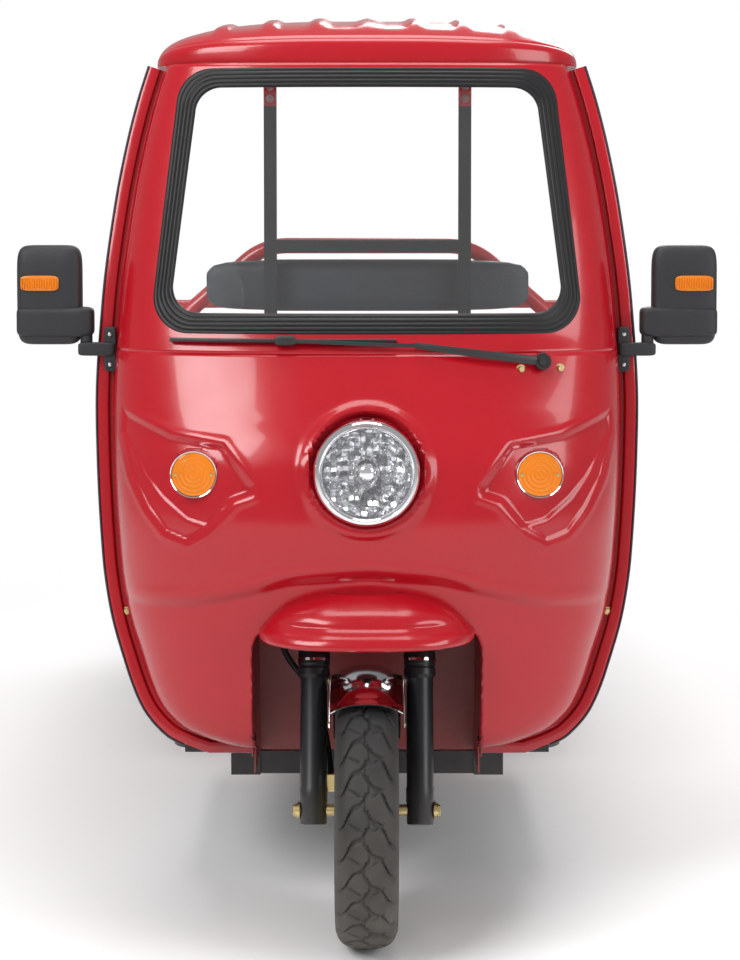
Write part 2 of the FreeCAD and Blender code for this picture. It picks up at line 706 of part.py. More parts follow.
def backrest_outline(y):
    """A long D: straight along the bottom, with wide slanting shoulders."""
    half, low, high = BACKREST_HALF_WIDTH, BACKREST_BOTTOM, BACKREST_BOTTOM + BACKREST_HEIGHT
    shoulder = 105.0
    points = [
        V(-half + 12.0, y, low), V(half - 12.0, y, low), V(half + 4.0, y, low + 38.0),
        V(half - shoulder + 30.0, y, high - 6.0), V(half - shoulder - 40.0, y, high),
        V(-half + shoulder + 40.0, y, high), V(-half + shoulder - 30.0, y, high - 6.0),
        V(-half - 4.0, y, low + 38.0),
    ]
    return rounded_polygon(points, 12.0)


def backrest():
    y = at(BACKREST_BACK) - BACKREST_THICKNESS / 2
    return Part.Face(backrest_outline(y)).extrude(V(0, BACKREST_THICKNESS, 0))


def backrest_hoop():
    """The arched tube behind the backrest, with its feet on the bed's front and tabs that carry the pad."""
    y = at(HOOP_BACK)
    top = HOOP_TOP
    points = [
        V(-HOOP_HALF_WIDTH, y, BED_FLOOR_TOP - 60.0), V(-HOOP_HALF_WIDTH, y, 1090.0),
        V(-HOOP_HALF_WIDTH + 225.0, y, top), V(HOOP_HALF_WIDTH - 225.0, y, top),
        V(HOOP_HALF_WIDTH, y, 1090.0), V(HOOP_HALF_WIDTH, y, BED_FLOOR_TOP - 60.0),
    ]
    tube = bent_tube(points, 150.0, HOOP_RADIUS)
    pad_back = at(BACKREST_BACK) + BACKREST_THICKNESS / 2
    cross = rod(10.0, V(-HOOP_HALF_WIDTH, y, 1175.0 - 30.0), V(HOOP_HALF_WIDTH, y, 1175.0 - 30.0))
    pads = [
        box(x - 30.0, x + 30.0, pad_back, y, 1135.0, 1155.0) for x in (-180.0, 180.0)
    ]
    tabs = [
        box(side * HOOP_HALF_WIDTH - 14.0, side * HOOP_HALF_WIDTH + 14.0, y, HEADBOARD_FRONT - FIT, z, z + 30.0)
        for side in (-1, 1) for z in (600.0, 800.0)
    ]
    return largest(fuse([tube, cross] + pads + tabs))


def roof_posts():
    """Two square posts with a cross bar, from the floor behind the seat to the roof's tabs."""
    y0, y1 = at(POST_BACK) - POST_SIZE / 2, at(POST_BACK) + POST_SIZE / 2
    inner = POST_HALF_SPACING - POST_SIZE / 2
    posts = [
        box(s * POST_HALF_SPACING - POST_SIZE / 2, s * POST_HALF_SPACING + POST_SIZE / 2, y0, y1,
            FLOOR_HEIGHT, POST_TOP)
        for s in (-1, 1)
    ]
    bar = box(-inner, inner, y0, y1, HOOP_TOP - 15.0, HOOP_TOP + 15.0)
    return fuse(posts + [bar])


def dash_panel():
    """The ledge behind the cab's nose, with the gauge housing in its middle."""
    z0, z1 = 1050.0, 1054.0
    ledge = box(-430.0, 430.0, at(20.0), at(185.0), z0, z1)
    gauge = rounded_box(-75.0, 75.0, at(110.0), at(165.0), z1, z1 + 60.0, 12.0)
    whole = fuse([ledge, gauge])
    return largest(whole.common(shell_body(SHELL_WALL + FIT)))


# ---------------------------------------------------------------- steering
def fork_yoke():
    """The lower yoke with its two stanchions and the stem that turns in the head tube."""
    half = YOKE_THICKNESS / 2
    plate = box(-FORK_HALF_SPACING - 34.0, FORK_HALF_SPACING + 34.0, -LEG_FORWARD - 34.0, 36.0, -half, half)
    edges = [e for e in plate.Edges if abs(e.tangentAt(e.FirstParameter).z) > 0.99]
    plate = plate.makeFillet(24.0, edges)
    plate.rotate(V(0, 0, 0), X_AXIS, -math.degrees(RAKE))
    plate.translate(steering_point(YOKE_DISTANCE))
    low = LEG_LENGTH
    top = YOKE_DISTANCE + LEG_SHIFT
    tubes = [
        cylinder(STANCHION_RADIUS, leg_point(low, side), STEERING_DIRECTION, top + half - low + 8.0)
        for side in (-1, 1)
    ]
    stem = cylinder(STEM_RADIUS, steering_point(YOKE_DISTANCE), STEERING_DIRECTION, STEM_LENGTH - YOKE_DISTANCE)
    return fuse([plate, stem] + tubes)


def fork_legs():
    legs = []
    for side in (-1, 1):
        leg = cylinder(LEG_RADIUS, leg_point(-22.0, side), STEERING_DIRECTION, LEG_LENGTH - 30.0 + 22.0)
        cap = cylinder(LEG_CAP_RADIUS, leg_point(LEG_LENGTH - 48.0, side), STEERING_DIRECTION, 48.0)
        lug_start = leg_point(160.0, side)
        lug = cylinder(9.0, lug_start, V(-side, 0, 0), FORK_HALF_SPACING - 72.0)
        hole = cylinder(AXLE_RADIUS + 0.1, V(side * 40.0, at(0), WHEEL_HEIGHT), V(side, 0, 0), 120.0)
        legs.append(fuse([leg, cap, lug]).cut(hole))
    return Part.makeCompound(legs)


def front_fender():
    """A curved guard over the tyre on two flat stays that bolt to the legs' lugs."""
    centre = V(0, at(0), WHEEL_HEIGHT)
    rise = 22.0
    outer, inner = [], []
    steps = 8
    for i in range(steps + 1):
        x = FENDER_HALF * (2 * i / steps - 1)
        drop = rise * (abs(x) / FENDER_HALF) ** 2.4
        outer.append(V(x, at(0), WHEEL_HEIGHT + FENDER_RADIUS + 3.0 - drop))
        inner.append(V(x, at(0), WHEEL_HEIGHT + FENDER_RADIUS - drop))
    profile = outer + inner[::-1]
    guard = revolved(profile, centre, X_AXIS, FENDER_SWEEP)
    guard.rotate(centre, X_AXIS, FENDER_FRONT - FENDER_SWEEP)
    lug = leg_point(160.0, 1)
    top = V(0, at(0) + 95.0, WHEEL_HEIGHT + 226.0)
    stays = []
    for side in (-1, 1):
        x = side * 71.8
        low = V(x, lug.y, lug.z)
        strip = [
            V(x, low.y - 9.0, low.z - 12.0), V(x, low.y + 9.0, low.z - 12.0),
            V(x, top.y + 10.0, top.z + 10.0), V(x, top.y - 22.0, top.z + 10.0),
        ]
        stays.append(extrude(strip, V(-side * 3.0, 0, 0)))
        stays.append(box(*sorted((x - side * 3.0, side * (FENDER_HALF - 6.0))), top.y - 14.0, top.y + 6.0,
                         top.z + 4.0, top.z + 7.0))
    return largest(fuse([guard] + stays))


def front_axle():
    """The through axle with its nuts and spacers, and the drum brake's backing plate with its arm."""
    z, y = WHEEL_HEIGHT, at(0)
    inner = FORK_HALF_SPACING - LEG_RADIUS
    pieces = [cylinder(AXLE_RADIUS, V(-138.0, y, z), X_AXIS, 276.0)]
    for side in (-1, 1):
        face = side * (FORK_HALF_SPACING + LEG_RADIUS)
        pieces.append(cylinder(13.0, V(face, y, z), V(side, 0, 0), 8.0))
    pieces.append(cylinder(11.0, V(-inner, y, z), X_AXIS, inner - 56.0))
    pieces.append(cylinder(11.0, V(47.0 + MOVING_GAP, y, z), X_AXIS, inner - 47.0 - MOVING_GAP))
    pieces.append(cylinder(DRUM_RADIUS - 4.0, V(-57.0, y, z), X_AXIS, 7.0))
    pieces.append(brake_arm(0.0))
    return fuse(pieces)


def brake_arm(grow):
    """The lever on the backing plate that the cable pulls."""
    y, z = at(0), WHEEL_HEIGHT
    return box(-74.0 - grow, -56.0 + grow, y + 20.0 - grow, y + 68.0 + grow, z + 30.0 - grow, z + 62.0 + grow)


def bar_centre():
    return steering_point(STEM_LENGTH + HANDLEBAR_RADIUS + 6.0)


def lever_perch(grow):
    """The clamp of the front brake's lever, on the bar's right-hand side."""
    inner, outer = bar_centre() + V(-165.0, 62.0, 48.0), bar_centre() + V(-335.0, 150.0, 42.0)
    along = (outer - inner).normalize()
    return cylinder(19.0 + grow, inner + along * (12.0 - grow), along, 34.0 + 2 * grow)


def brake_cable():
    """The front brake's cable: from the arm up behind the leg, past the yoke, and up the stem to the lever."""
    points = [
        V(-68.0, at(50.0), 300.0), V(-77.0, at(118.0), 425.0), V(-187.0, at(135.0), 548.0),
        V(-132.0, at(158.0), 680.0), V(-72.0, at(190.0), 790.0), V(-72.0, at(238.0), 930.0),
        lever_perch(0.0).CenterOfMass,
    ]
    cable = bent_tube(points, CABLE_BEND, CABLE_RADIUS)
    print("brake cable: arc radii", [CABLE_BEND] * (len(points) - 2), "mm, length",
          round(rounded_path(points, CABLE_BEND).Length), "mm")
    return largest(cable.cut(brake_arm(FIT)).cut(lever_perch(FIT)))


def handlebar():
    """A swept bar with grips and a brake lever, clamped on the stem's top."""
    centre = bar_centre()
    points = [
        centre + V(-335.0, 150.0, 42.0), centre + V(-165.0, 62.0, 48.0), centre + V(-70.0, 0, 0),
        centre + V(70.0, 0, 0), centre + V(165.0, 62.0, 48.0), centre + V(335.0, 150.0, 42.0),
    ]
    bar = bent_tube(points, 50.0, HANDLEBAR_RADIUS)
    clamp = cylinder(24.0, steering_point(STEM_LENGTH + FIT), STEERING_DIRECTION, 2 * HANDLEBAR_RADIUS + 10.0)
    pieces = [bar, clamp, lever_perch(0.0)]
    for end, inner in ((points[0], points[1]), (points[-1], points[-2])):
        pieces.append(cylinder(GRIP_RADIUS, end, inner - end, GRIP_LENGTH))
    along = (points[0] - points[1]).normalize()
    pivot = lever_perch(0.0).CenterOfMass + V(0, -28.0, 0)
    pieces.append(rod(6.0, pivot + V(0, 12.0, 0), pivot))
    pieces.append(rod(6.0, pivot, pivot + along * 130.0 + V(0, -8.0, -4.0)))
    return fuse(pieces)


# ---------------------------------------------------------------- wheels
def tyre(x, y):
    """A tyre with a round crown, turned about its axle."""
    half, mid = TYRE_WIDTH / 2, (TYRE_RADIUS + RIM_RADIUS) / 2
    z = WHEEL_HEIGHT
    def point(across, radius):
        return V(x + across, y, z + radius)
    edges = [
        Part.LineSegment(point(-half + 20, RIM_RADIUS), point(half - 20, RIM_RADIUS)).toShape(),
        Part.Arc(point(half - 20, RIM_RADIUS), point(half - 4, mid - 24), point(half, mid + 2)).toShape(),
        Part.Arc(point(half, mid + 2), point(half - 13, TYRE_RADIUS - 17), point(0, TYRE_RADIUS)).toShape(),
        Part.Arc(point(0, TYRE_RADIUS), point(-half + 13, TYRE_RADIUS - 17), point(-half, mid + 2)).toShape(),
        Part.Arc(point(-half, mid + 2), point(-half + 4, mid - 24), point(-half + 20, RIM_RADIUS)).toShape(),
    ]
    return Part.Face(Part.Wire(edges)).revolve(V(x, y, z), X_AXIS, 360)


def wheel_body(x, y, bore, hub_half, drum_side):
    """A pressed steel wheel: rim, dished disc with holes, hub and brake drum."""
    z = WHEEL_HEIGHT
    half = TYRE_WIDTH / 2
    rim_profile = [
        (-half + 14, RIM_RADIUS + 14), (-half + 20, RIM_RADIUS + 14), (-half + 20, RIM_RADIUS),
        (half - 20, RIM_RADIUS), (half - 20, RIM_RADIUS + 14), (half - 14, RIM_RADIUS + 14),
        (half - 14, RIM_RADIUS - 6), (-half + 14, RIM_RADIUS - 6),
    ]
    rim = revolved([V(x + a, y, z + r) for a, r in rim_profile], V(x, y, z), X_AXIS)
    disc_offset = -drum_side * 12.0
    disc = cylinder(RIM_RADIUS - 5.0, V(x + disc_offset - 3.0, y, z), X_AXIS, 6.0)
    holes = []
    for i in range(6):
        angle = math.radians(60 * i)
        centre = V(x - 40.0, y + 100.0 * math.cos(angle), z + 100.0 * math.sin(angle))
        holes.append(cylinder(20.0, centre, X_AXIS, 80.0))
    disc = disc.cut(Part.makeCompound(holes))
    hub = cylinder(HUB_RADIUS, V(x - hub_half, y, z), X_AXIS, 2 * hub_half)
    drum_start = min(disc_offset, drum_side * 44.0)
    drum = cylinder(DRUM_RADIUS + 8.0, V(x + drum_start, y, z), X_AXIS, abs(disc_offset - drum_side * 44.0))
    pocket_start = drum_side * 14.0
    pocket = ring(DRUM_RADIUS, HUB_RADIUS - 6.0, V(x + min(pocket_start, drum_side * 60.0), y, z), X_AXIS,
                  abs(drum_side * 60.0 - pocket_start))
    whole = fuse([rim, disc, hub, drum]).cut(pocket)
    bore_tool = cylinder(bore, V(x - 100.0, y, z), X_AXIS, 200.0)
    return largest(whole.cut(bore_tool))


def seated_tyre(x, y):
    """The tyre with its beads cut back to clear the rim's flanges."""
    flanges = [
        cylinder(RIM_RADIUS + 14.0 + FIT, V(x + start, y, WHEEL_HEIGHT), X_AXIS, 30.0 + FIT)
        for start in (-TYRE_WIDTH / 2 - 10.0, TYRE_WIDTH / 2 - 20.0 - FIT)
    ]
    return largest(tyre(x, y).cut(Part.makeCompound(flanges)))


def front_tyre():
    return seated_tyre(0.0, at(0))


def front_rim():
    return wheel_body(0.0, at(0), AXLE_RADIUS + RUNNING_FIT, 47.0, -1)


def rear_tyre_left():
    return seated_tyre(REAR_TRACK / 2, at(REAR_AXLE))


def rear_tyre_right():
    return seated_tyre(-REAR_TRACK / 2, at(REAR_AXLE))


def rear_rim(side):
    x = side * REAR_TRACK / 2
    wheel = wheel_body(x, at(REAR_AXLE), REAR_SPINDLE_RADIUS + RUNNING_FIT, 40.0, -side)
    cap = cylinder(HUB_RADIUS - 6.0, V(x + side * 40.0, at(REAR_AXLE), WHEEL_HEIGHT), V(side, 0, 0), 12.0)
    return fuse([wheel, cap])


def rear_rim_left():
    return rear_rim(1)


def rear_rim_right():
    return rear_rim(-1)


def rear_axle():
    """The driven axle: tube, gear case, drive motor, backing plates and spindles."""
    y, z = at(REAR_AXLE), WHEEL_HEIGHT
    half = REAR_TRACK / 2
    tube = cylinder(30.0, V(-half + 62.0, y, z), X_AXIS, 2 * half - 124.0)
    case = cylinder(88.0, V(-75.0, y, z), X_AXIS, 125.0)
    motor = cylinder(78.0, V(60.0, y - 150.0, z + 10.0), X_AXIS, 130.0)
    neck = box(-60.0, 100.0, y - 150.0, y, z - 45.0, z + 60.0)
    spindles = [
        cylinder(REAR_SPINDLE_RADIUS, V(side * (half - 70.0), y, z), V(side, 0, 0), 108.0) for side in (-1, 1)
    ]
    plates = [
        cylinder(DRUM_RADIUS - 3.0, V(side * (half - 50.0), y, z), V(-side, 0, 0), 12.0) for side in (-1, 1)
    ]
    seats = [
        box(side * RAIL_HALF_SPACING - 32.0, side * RAIL_HALF_SPACING + 32.0, y - 40.0, y + 40.0, z + 18.0, z + 38.0)
        for side in (-1, 1)
    ]
    return fuse([tube, case, motor, neck] + spindles + plates + seats)


def leaf_springs():
    """A pack of leaves under each rail, with its eyes in hangers below the rail."""
    y, seat = at(REAR_AXLE), WHEEL_HEIGHT + 38.0
    x0 = RAIL_HALF_SPACING - 25.0
    half_length, rise, leaf = 300.0, 78.0, 8.0
    def leaf_strip(level, length):
        def arc(z_shift):
            drop = rise * (length / half_length) ** 2
            ends = seat + z_shift + drop
            return V(x0, y - length, ends), V(x0, y, seat + z_shift), V(x0, y + length, ends)
        a, b = arc(level * leaf), arc((level + 1) * leaf)
        edges = [
            Part.Arc(*a).toShape(), Part.LineSegment(a[2], b[2]).toShape(),
            Part.Arc(b[2], b[1], b[0]).toShape(), Part.LineSegment(b[0], a[0]).toShape(),
        ]
        return Part.Face(Part.Wire(edges)).extrude(V(50.0, 0, 0))
    leaves = [leaf_strip(level, length) for level, length in enumerate((120.0, 180.0, 240.0, 300.0))]
    hangers = []
    for end in (-1, 1):
        ye = y + end * (half_length + 6.0)
        hangers.append(box(x0, x0 + 50.0, ye - 14.0, ye + 14.0, seat + rise + 18.0, REAR_RAIL_TOP - RAIL_HEIGHT))
    return both(largest(fuse(leaves + hangers)))


def rear_mudguards():
    """A curved guard over each rear tyre, hung from the bed's floor."""
    x0 = REAR_TRACK / 2 - 64.0
    y, z = at(REAR_AXLE), WHEEL_HEIGHT
    outer, inner = TYRE_RADIUS + 27.0, TYRE_RADIUS + 24.0
    arch = ring(outer, inner, V(x0, y, z), X_AXIS, 128.0)
    arch = arch.common(box(x0 - 1, x0 + 129.0, y - 400.0, y + 400.0, z + 60.0, z + 400.0))
    stays = [
        box(x0 + 44.0, x0 + 84.0, y + d - 10.0, y + d + 10.0, z + outer - 32.0, BED_FLOOR_TOP - BED_PLATE)
        for d in (-90.0, 90.0)
    ]
    whole = fuse([arch] + stays).cut(cylinder(inner, V(x0 - 5.0, y, z), X_AXIS, 140.0))
    return both(largest(whole))


# ---------------------------------------------------------------- bed
def bed_inner_half():
    return BED_WIDTH / 2 - BED_SIDE_THICKNESS - MOVING_GAP


def hinge_x():
    return BED_WIDTH / 2 + 4.0


def hinge_z():
    return BED_FLOOR_TOP - BED_PLATE - 4.0


def side_hinges_y():
    length = BED_REAR - BED_FRONT
    return [at(BED_FRONT) + length * share for share in (0.15, 0.5, 0.85)]


def tail_hinges_x():
    return [-340.0, 340.0]


def tail_hinge_y():
    return at(BED_REAR) + BED_SIDE_THICKNESS / 2 - 11.0


def bed_floor():
    """The floor plate on its cross bearers, with the pins that the sides and the tailgate turn on."""
    half = bed_inner_half()
    front, rear = at(BED_FRONT), at(BED_REAR) - BED_SIDE_THICKNESS
    top = BED_FLOOR_TOP
    plate = box(-half, half, front, rear, top - BED_PLATE, top)
    pieces = [plate]
    for y in (front + 10.0, at(REAR_AXLE) - 345.0, at(REAR_AXLE) + 305.0, rear - 54.0):
        pieces.append(box(-half, half, y, y + 40.0, REAR_RAIL_TOP, top - BED_PLATE))
    pieces.append(box(-RAIL_HALF_SPACING - 60, RAIL_HALF_SPACING + 60, at(REAR_AXLE) - 20.0, at(REAR_AXLE) + 20.0,
                      REAR_RAIL_TOP, top - BED_PLATE))
    gap = KNUCKLE_LENGTH / 2 + FIT
    for side in (-1, 1):
        for y in side_hinges_y():
            pin = cylinder(HINGE_PIN_RADIUS, V(side * hinge_x(), y - gap - 12.0, hinge_z()), Y_AXIS, 2 * gap + 24.0)
            pieces.append(pin)
            for ear in (y - gap - 12.0, y + gap):
                x0, x1 = sorted((side * (half - 40.0), side * (hinge_x() + 6.0)))
                pieces.append(box(x0, x1, ear, ear + 12.0, hinge_z() - 8.0, hinge_z() + 4.0))
    for x in tail_hinges_x():
        pin = cylinder(HINGE_PIN_RADIUS, V(x - gap - 12.0, tail_hinge_y(), hinge_z()), X_AXIS, 2 * gap + 24.0)
        pieces.append(pin)
        for ear in (x - gap - 12.0, x + gap):
            pieces.append(box(ear, ear + 12.0, rear - 40.0, tail_hinge_y() + 6.0, hinge_z() - 8.0, hinge_z() + 4.0))
    whole = fuse(pieces)
    holes = [
        cylinder(BODY_BOLT_RADIUS, V(sx * BODY_BOLT_X / 2, (front + rear) / 2 + sy * BODY_BOLT_Y / 2, top - 20.0),
                 Z_AXIS, 40.0)
        for sx in (-1, 1) for sy in (-1, 1)
    ]
    return whole.cut(Part.makeCompound(holes))


def panel_bottom():
    return BED_FLOOR_TOP + 2.0


def dropside(side):
    """A folded steel side with pressed ribs, and the knuckles that turn on the floor's pins."""
    x1 = BED_WIDTH / 2
    x0 = x1 - BED_SIDE_THICKNESS
    y0, y1 = at(BED_FRONT) + MOVING_GAP, at(BED_REAR) - BED_SIDE_THICKNESS - MOVING_GAP
    z0, z1 = panel_bottom(), BED_FLOOR_TOP + BED_SIDE_HEIGHT
    panel = box(x0, x1, y0, y1, z0, z1)
    recess_count = 5
    pitch = (y1 - y0 - 40.0) / recess_count
    recesses = []
    for i in range(recess_count):
        start = y0 + 20.0 + i * pitch + 25.0
        recesses.append(box(x1 - 8.0, x1 + 5.0, start, start + pitch - 50.0, z0 + 45.0, z1 - 50.0))
    panel = panel.cut(Part.makeCompound(recesses))
    pieces = [panel]
    for y in side_hinges_y():
        start = y - KNUCKLE_LENGTH / 2
        knuckle = cylinder(KNUCKLE_RADIUS, V(hinge_x(), start, hinge_z()), Y_AXIS, KNUCKLE_LENGTH)
        strap = box(x1 - 6.0, x1 + 6.0, start, start + KNUCKLE_LENGTH, hinge_z(), z0 + 60.0)
        pieces += [knuckle, strap]
    whole = fuse(pieces)
    radius = HINGE_PIN_RADIUS + RUNNING_FIT
    bore = [cylinder(radius, V(hinge_x(), y - 60.0, hinge_z()), Y_AXIS, 120.0) for y in side_hinges_y()]
    whole = whole.cut(Part.makeCompound(bore))
    return whole if side > 0 else mirrored(whole)


def dropside_left():
    return dropside(1)


def dropside_right():
    return dropside(-1)


def tailgate():
    """The rear panel, hinged at the bottom like the sides."""
    y1 = tail_hinge_y() - 4.0
    y0 = y1 - BED_SIDE_THICKNESS
    half = BED_WIDTH / 2
    z0, z1 = panel_bottom(), BED_FLOOR_TOP + BED_SIDE_HEIGHT
    panel = box(-half, half, y0, y1, z0, z1)
    recess_count = 3
    pitch = (2 * half - 40.0) / recess_count
    recesses = []
    for i in range(recess_count):
        start = -half + 20.0 + i * pitch + 25.0
        recesses.append(box(start, start + pitch - 50.0, y1 - 8.0, y1 + 5.0, z0 + 45.0, z1 - 50.0))
    panel = panel.cut(Part.makeCompound(recesses))
    pieces = [panel]
    for x in tail_hinges_x():
        start = x - KNUCKLE_LENGTH / 2
        knuckle = cylinder(KNUCKLE_RADIUS, V(start, tail_hinge_y(), hinge_z()), X_AXIS, KNUCKLE_LENGTH)
        strap = box(start, start + KNUCKLE_LENGTH, y1 - 6.0, y1 + 6.0, hinge_z(), z0 + 60.0)
        pieces += [knuckle, strap]
    whole = fuse(pieces)
    radius = HINGE_PIN_RADIUS + RUNNING_FIT
    bore = [cylinder(radius, V(x - 60.0, tail_hinge_y(), hinge_z()), X_AXIS, 120.0) for x in tail_hinges_x()]
    return whole.cut(Part.makeCompound(bore))


def bed_headboard():
    """The fixed front wall of the bed, with the rack that guards the cab's back."""
    half = BED_WIDTH / 2
    y1 = at(BED_FRONT)
    y0 = y1 - BED_SIDE_THICKNESS
    z0, z1 = REAR_RAIL_TOP, BED_FLOOR_TOP + BED_SIDE_HEIGHT
    panel = box(-half, half, y0, y1, z0 + 20.0, z1)
    feet = [
        box(s * RAIL_HALF_SPACING - 30.0, s * RAIL_HALF_SPACING + 30.0, y0, y1, z0, z0 + 22.0) for s in (-1, 1)
    ]
    rail = rod(14.0, V(-half + 60.0, (y0 + y1) / 2, z1 + 90.0), V(half - 60.0, (y0 + y1) / 2, z1 + 90.0))
    uprights = [
        rod(12.0, V(x, (y0 + y1) / 2, z1 - 10.0), V(x, (y0 + y1) / 2, z1 + 92.0))
        for x in (-half + 72.0, 0.0, half - 72.0)
    ]
    return fuse([panel, rail] + feet + uprights)


def tail_lamps():
    """Lamp clusters under the bed's rear corners, on the rear cross bearer."""
    y = at(BED_REAR) - BED_SIDE_THICKNESS - 14.0
    lamp = rounded_box(300.0, 440.0, y - 45.0, y, 440.0, REAR_RAIL_TOP, 10.0, Y_AXIS)
    return both(lamp)


def rear_bumper():
    """A cross bar hung from the rails behind the wheels, with a towing eye and a plate holder."""
    y1 = at(BED_REAR) - 60.0
    bar = rounded_box(-430.0, 430.0, y1 - 40.0, y1, 330.0, 380.0, 8.0, X_AXIS)
    hangers = [
        box(s * RAIL_HALF_SPACING - 20.0, s * RAIL_HALF_SPACING + 20.0, y1 - 34.0, y1 - 6.0,
            375.0, REAR_RAIL_TOP - RAIL_HEIGHT)
        for s in (-1, 1)
    ]
    eye = box(-20.0, 20.0, y1 - 10.0, y1 + 44.0, 349.0, 361.0)
    whole = fuse([bar, eye] + hangers)
    return whole.cut(cylinder(TOW_EYE_RADIUS, V(0, y1 + 24.0, 340.0), Z_AXIS, 30.0))


NODES = [
    chassis_rails, cross_members, steering_neck, floor_plate, battery_box, front_shell, roof_shell,
    edge_trim, nose_cowl, wheel_well, windscreen_seal, windscreen, headlight, front_indicators, wiper,
    seat_box, seat_cushion, backrest, backrest_hoop, roof_posts, dash_panel, fork_yoke, fork_legs,
    front_fender, front_axle, brake_cable, handlebar, front_tyre, front_rim, rear_tyre_left, rear_tyre_right,
    rear_rim_left, rear_rim_right, rear_axle, leaf_springs, rear_mudguards, bed_floor, dropside_left,
    dropside_right, tailgate, bed_headboard, tail_lamps, rear_bumper, mirror_left, mirror_right,
]



def main():
    os.makedirs("parts", exist_ok=True)
    for make in NODES:
        shape = make()
        if not shape.isValid() or not shape.Solids:
            raise RuntimeError(make.__name__ + " is not a valid solid")
        shape.exportStep(os.path.join("parts", make.__name__ + ".step"))


if __name__ == "__main__":
    main()
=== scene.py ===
"""Looks for the electric cargo tricycle: paint, glass, tread, trim and padding around the fixed frame.

Lengths of pieces are written in millimetres and become metres in make(); lamps and camera are in metres.
The vehicle faces -Y, and +X is its own left. Distances called back are measured from the front axle.
"""
import json
import math

import bpy
import bmesh
import numpy as np
from mathutils import Matrix, Vector


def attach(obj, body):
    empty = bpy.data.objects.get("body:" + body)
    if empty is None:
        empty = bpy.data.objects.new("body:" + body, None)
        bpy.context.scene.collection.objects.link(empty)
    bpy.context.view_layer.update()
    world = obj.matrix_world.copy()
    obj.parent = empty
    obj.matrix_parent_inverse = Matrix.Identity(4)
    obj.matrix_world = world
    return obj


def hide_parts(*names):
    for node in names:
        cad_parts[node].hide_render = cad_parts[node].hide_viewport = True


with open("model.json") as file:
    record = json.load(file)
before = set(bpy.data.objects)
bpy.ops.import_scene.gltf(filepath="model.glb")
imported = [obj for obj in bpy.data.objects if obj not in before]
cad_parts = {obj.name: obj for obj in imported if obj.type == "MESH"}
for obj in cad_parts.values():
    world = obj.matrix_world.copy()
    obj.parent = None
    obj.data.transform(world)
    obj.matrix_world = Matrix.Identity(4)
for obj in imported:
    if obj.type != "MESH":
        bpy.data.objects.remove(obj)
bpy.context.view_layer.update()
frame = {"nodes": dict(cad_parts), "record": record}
MM = 0.001
PI = math.pi
FRONT_AXLE_Y = -1350.0
REAR_AXLE_Y = 800.0
REAR_WHEEL_X = 440.0
AXLE_Z = 250.0

# ------------------------------------------------------------------ the cab's own curves, as in the frame
CAB_WIDTH = 1054.0
BRIM = 42.0
WALL = 5.0
CROSS_POWER = 2.5
OUTLINE = [(316, 222), (330, 180), (351, 138), (406, 90), (501, 53), (596, 27), (695, 13), (890, 2),
           (990, 0), (1186, 11), (1384, 34), (1486, 52), (1585, 75), (1665, 99)]
NOSE = [(316, 75), (350, 45), (420, 18), (500, -2), (600, -25), (700, -50), (800, -68), (892, -58),
        (1000, -8), (1100, 42), (1135, 60), (1400, 152), (1665, 244)]
SIDE_EDGE = [(316, 180), (420, 202), (600, 222), (900, 240), (1200, 260), (1450, 305), (1665, 345)]
SCREEN = dict(low=1135.0, high=1648.0, half_low=410.0, half_high=374.0, corner=70.0)
OPENING_HALF = 214.0
OPENING_TOP = 612.0
OPENING_CORNER = 70.0
CORNER_X, CORNER_Z = OPENING_HALF - OPENING_CORNER, OPENING_TOP - OPENING_CORNER
LAMP_Z = 892.0
SIGNAL_X, SIGNAL_Z = 319.0, 883.0
LAMP_HOLE, SIGNAL_HOLE = 91.0, 42.5
SKIN = 3.5
FRONT_SKIN_JOIN = 1100.0
SCREEN_LAP = 16.0
SEAL_WIDTH = 40.0


def smooth(points, where):
    """A monotone cubic through (place, value) pairs, read at an array of places."""
    x, y = np.array(points, float).T
    step = np.diff(y) / np.diff(x)
    product, total = step[:-1] * step[1:], step[:-1] + step[1:]
    inner = np.where(product > 0, 2 * product / np.where(total == 0, 1, total), 0)
    slope = np.concatenate([step[:1], inner, step[-1:]])
    w = np.clip(np.asarray(where, float), x[0], x[-1])
    i = np.clip(np.searchsorted(x, w) - 1, 0, len(x) - 2)
    h = x[i + 1] - x[i]
    t = (w - x[i]) / h
    return ((2 * t**3 - 3 * t**2 + 1) * y[i] + (t**3 - 2 * t**2 + t) * h * slope[i]
            + (3 * t**2 - 2 * t**3) * y[i + 1] + (t**3 - t**2) * h * slope[i + 1])


def outline(z):
    return CAB_WIDTH / 2 - smooth(OUTLINE, z)


def nose(z):
    return FRONT_AXLE_Y + smooth(NOSE, z)


def side_edge(z):
    return FRONT_AXLE_Y + smooth(SIDE_EDGE, z)


def inset_edge():
    """The cab's outline moved inwards at right angles by the width of the brim, as (height, half width)."""
    z = np.linspace(900.0, 318.0, 500)
    x = outline(z)
    along = np.gradient(np.stack([x, z], -1), axis=0)
    along /= np.linalg.norm(along, axis=1)[:, None]
    inset = BRIM - WALL
    return z[::-1] - along[::-1, 0] * inset, x[::-1] + along[::-1, 1] * inset


EDGE_Z, EDGE_X = inset_edge()
PANEL_LOW = float(EDGE_Z.min()) + 1.0


def panel_half(z):
    """Half the panel's width inside the brim."""
    return np.where(np.asarray(z) > 800.0, outline(z) - BRIM + WALL, np.interp(z, EDGE_Z, EDGE_X))


def panel_y(x, z):
    """The cab's outer face seen from the front: a level superellipse from the nose to the side edge."""
    share = np.clip(np.abs(x) / panel_half(z), 0, 1)
    bow = (1 - share**CROSS_POWER) ** (1 / CROSS_POWER)
    return side_edge(z) - (side_edge(z) - nose(z)) * bow


def ease(value, low, high):
    """A smooth step from 0 at low to 1 at high."""
    t = np.clip((value - low) / (high - low), 0, 1)
    return t * t * (3 - 2 * t)


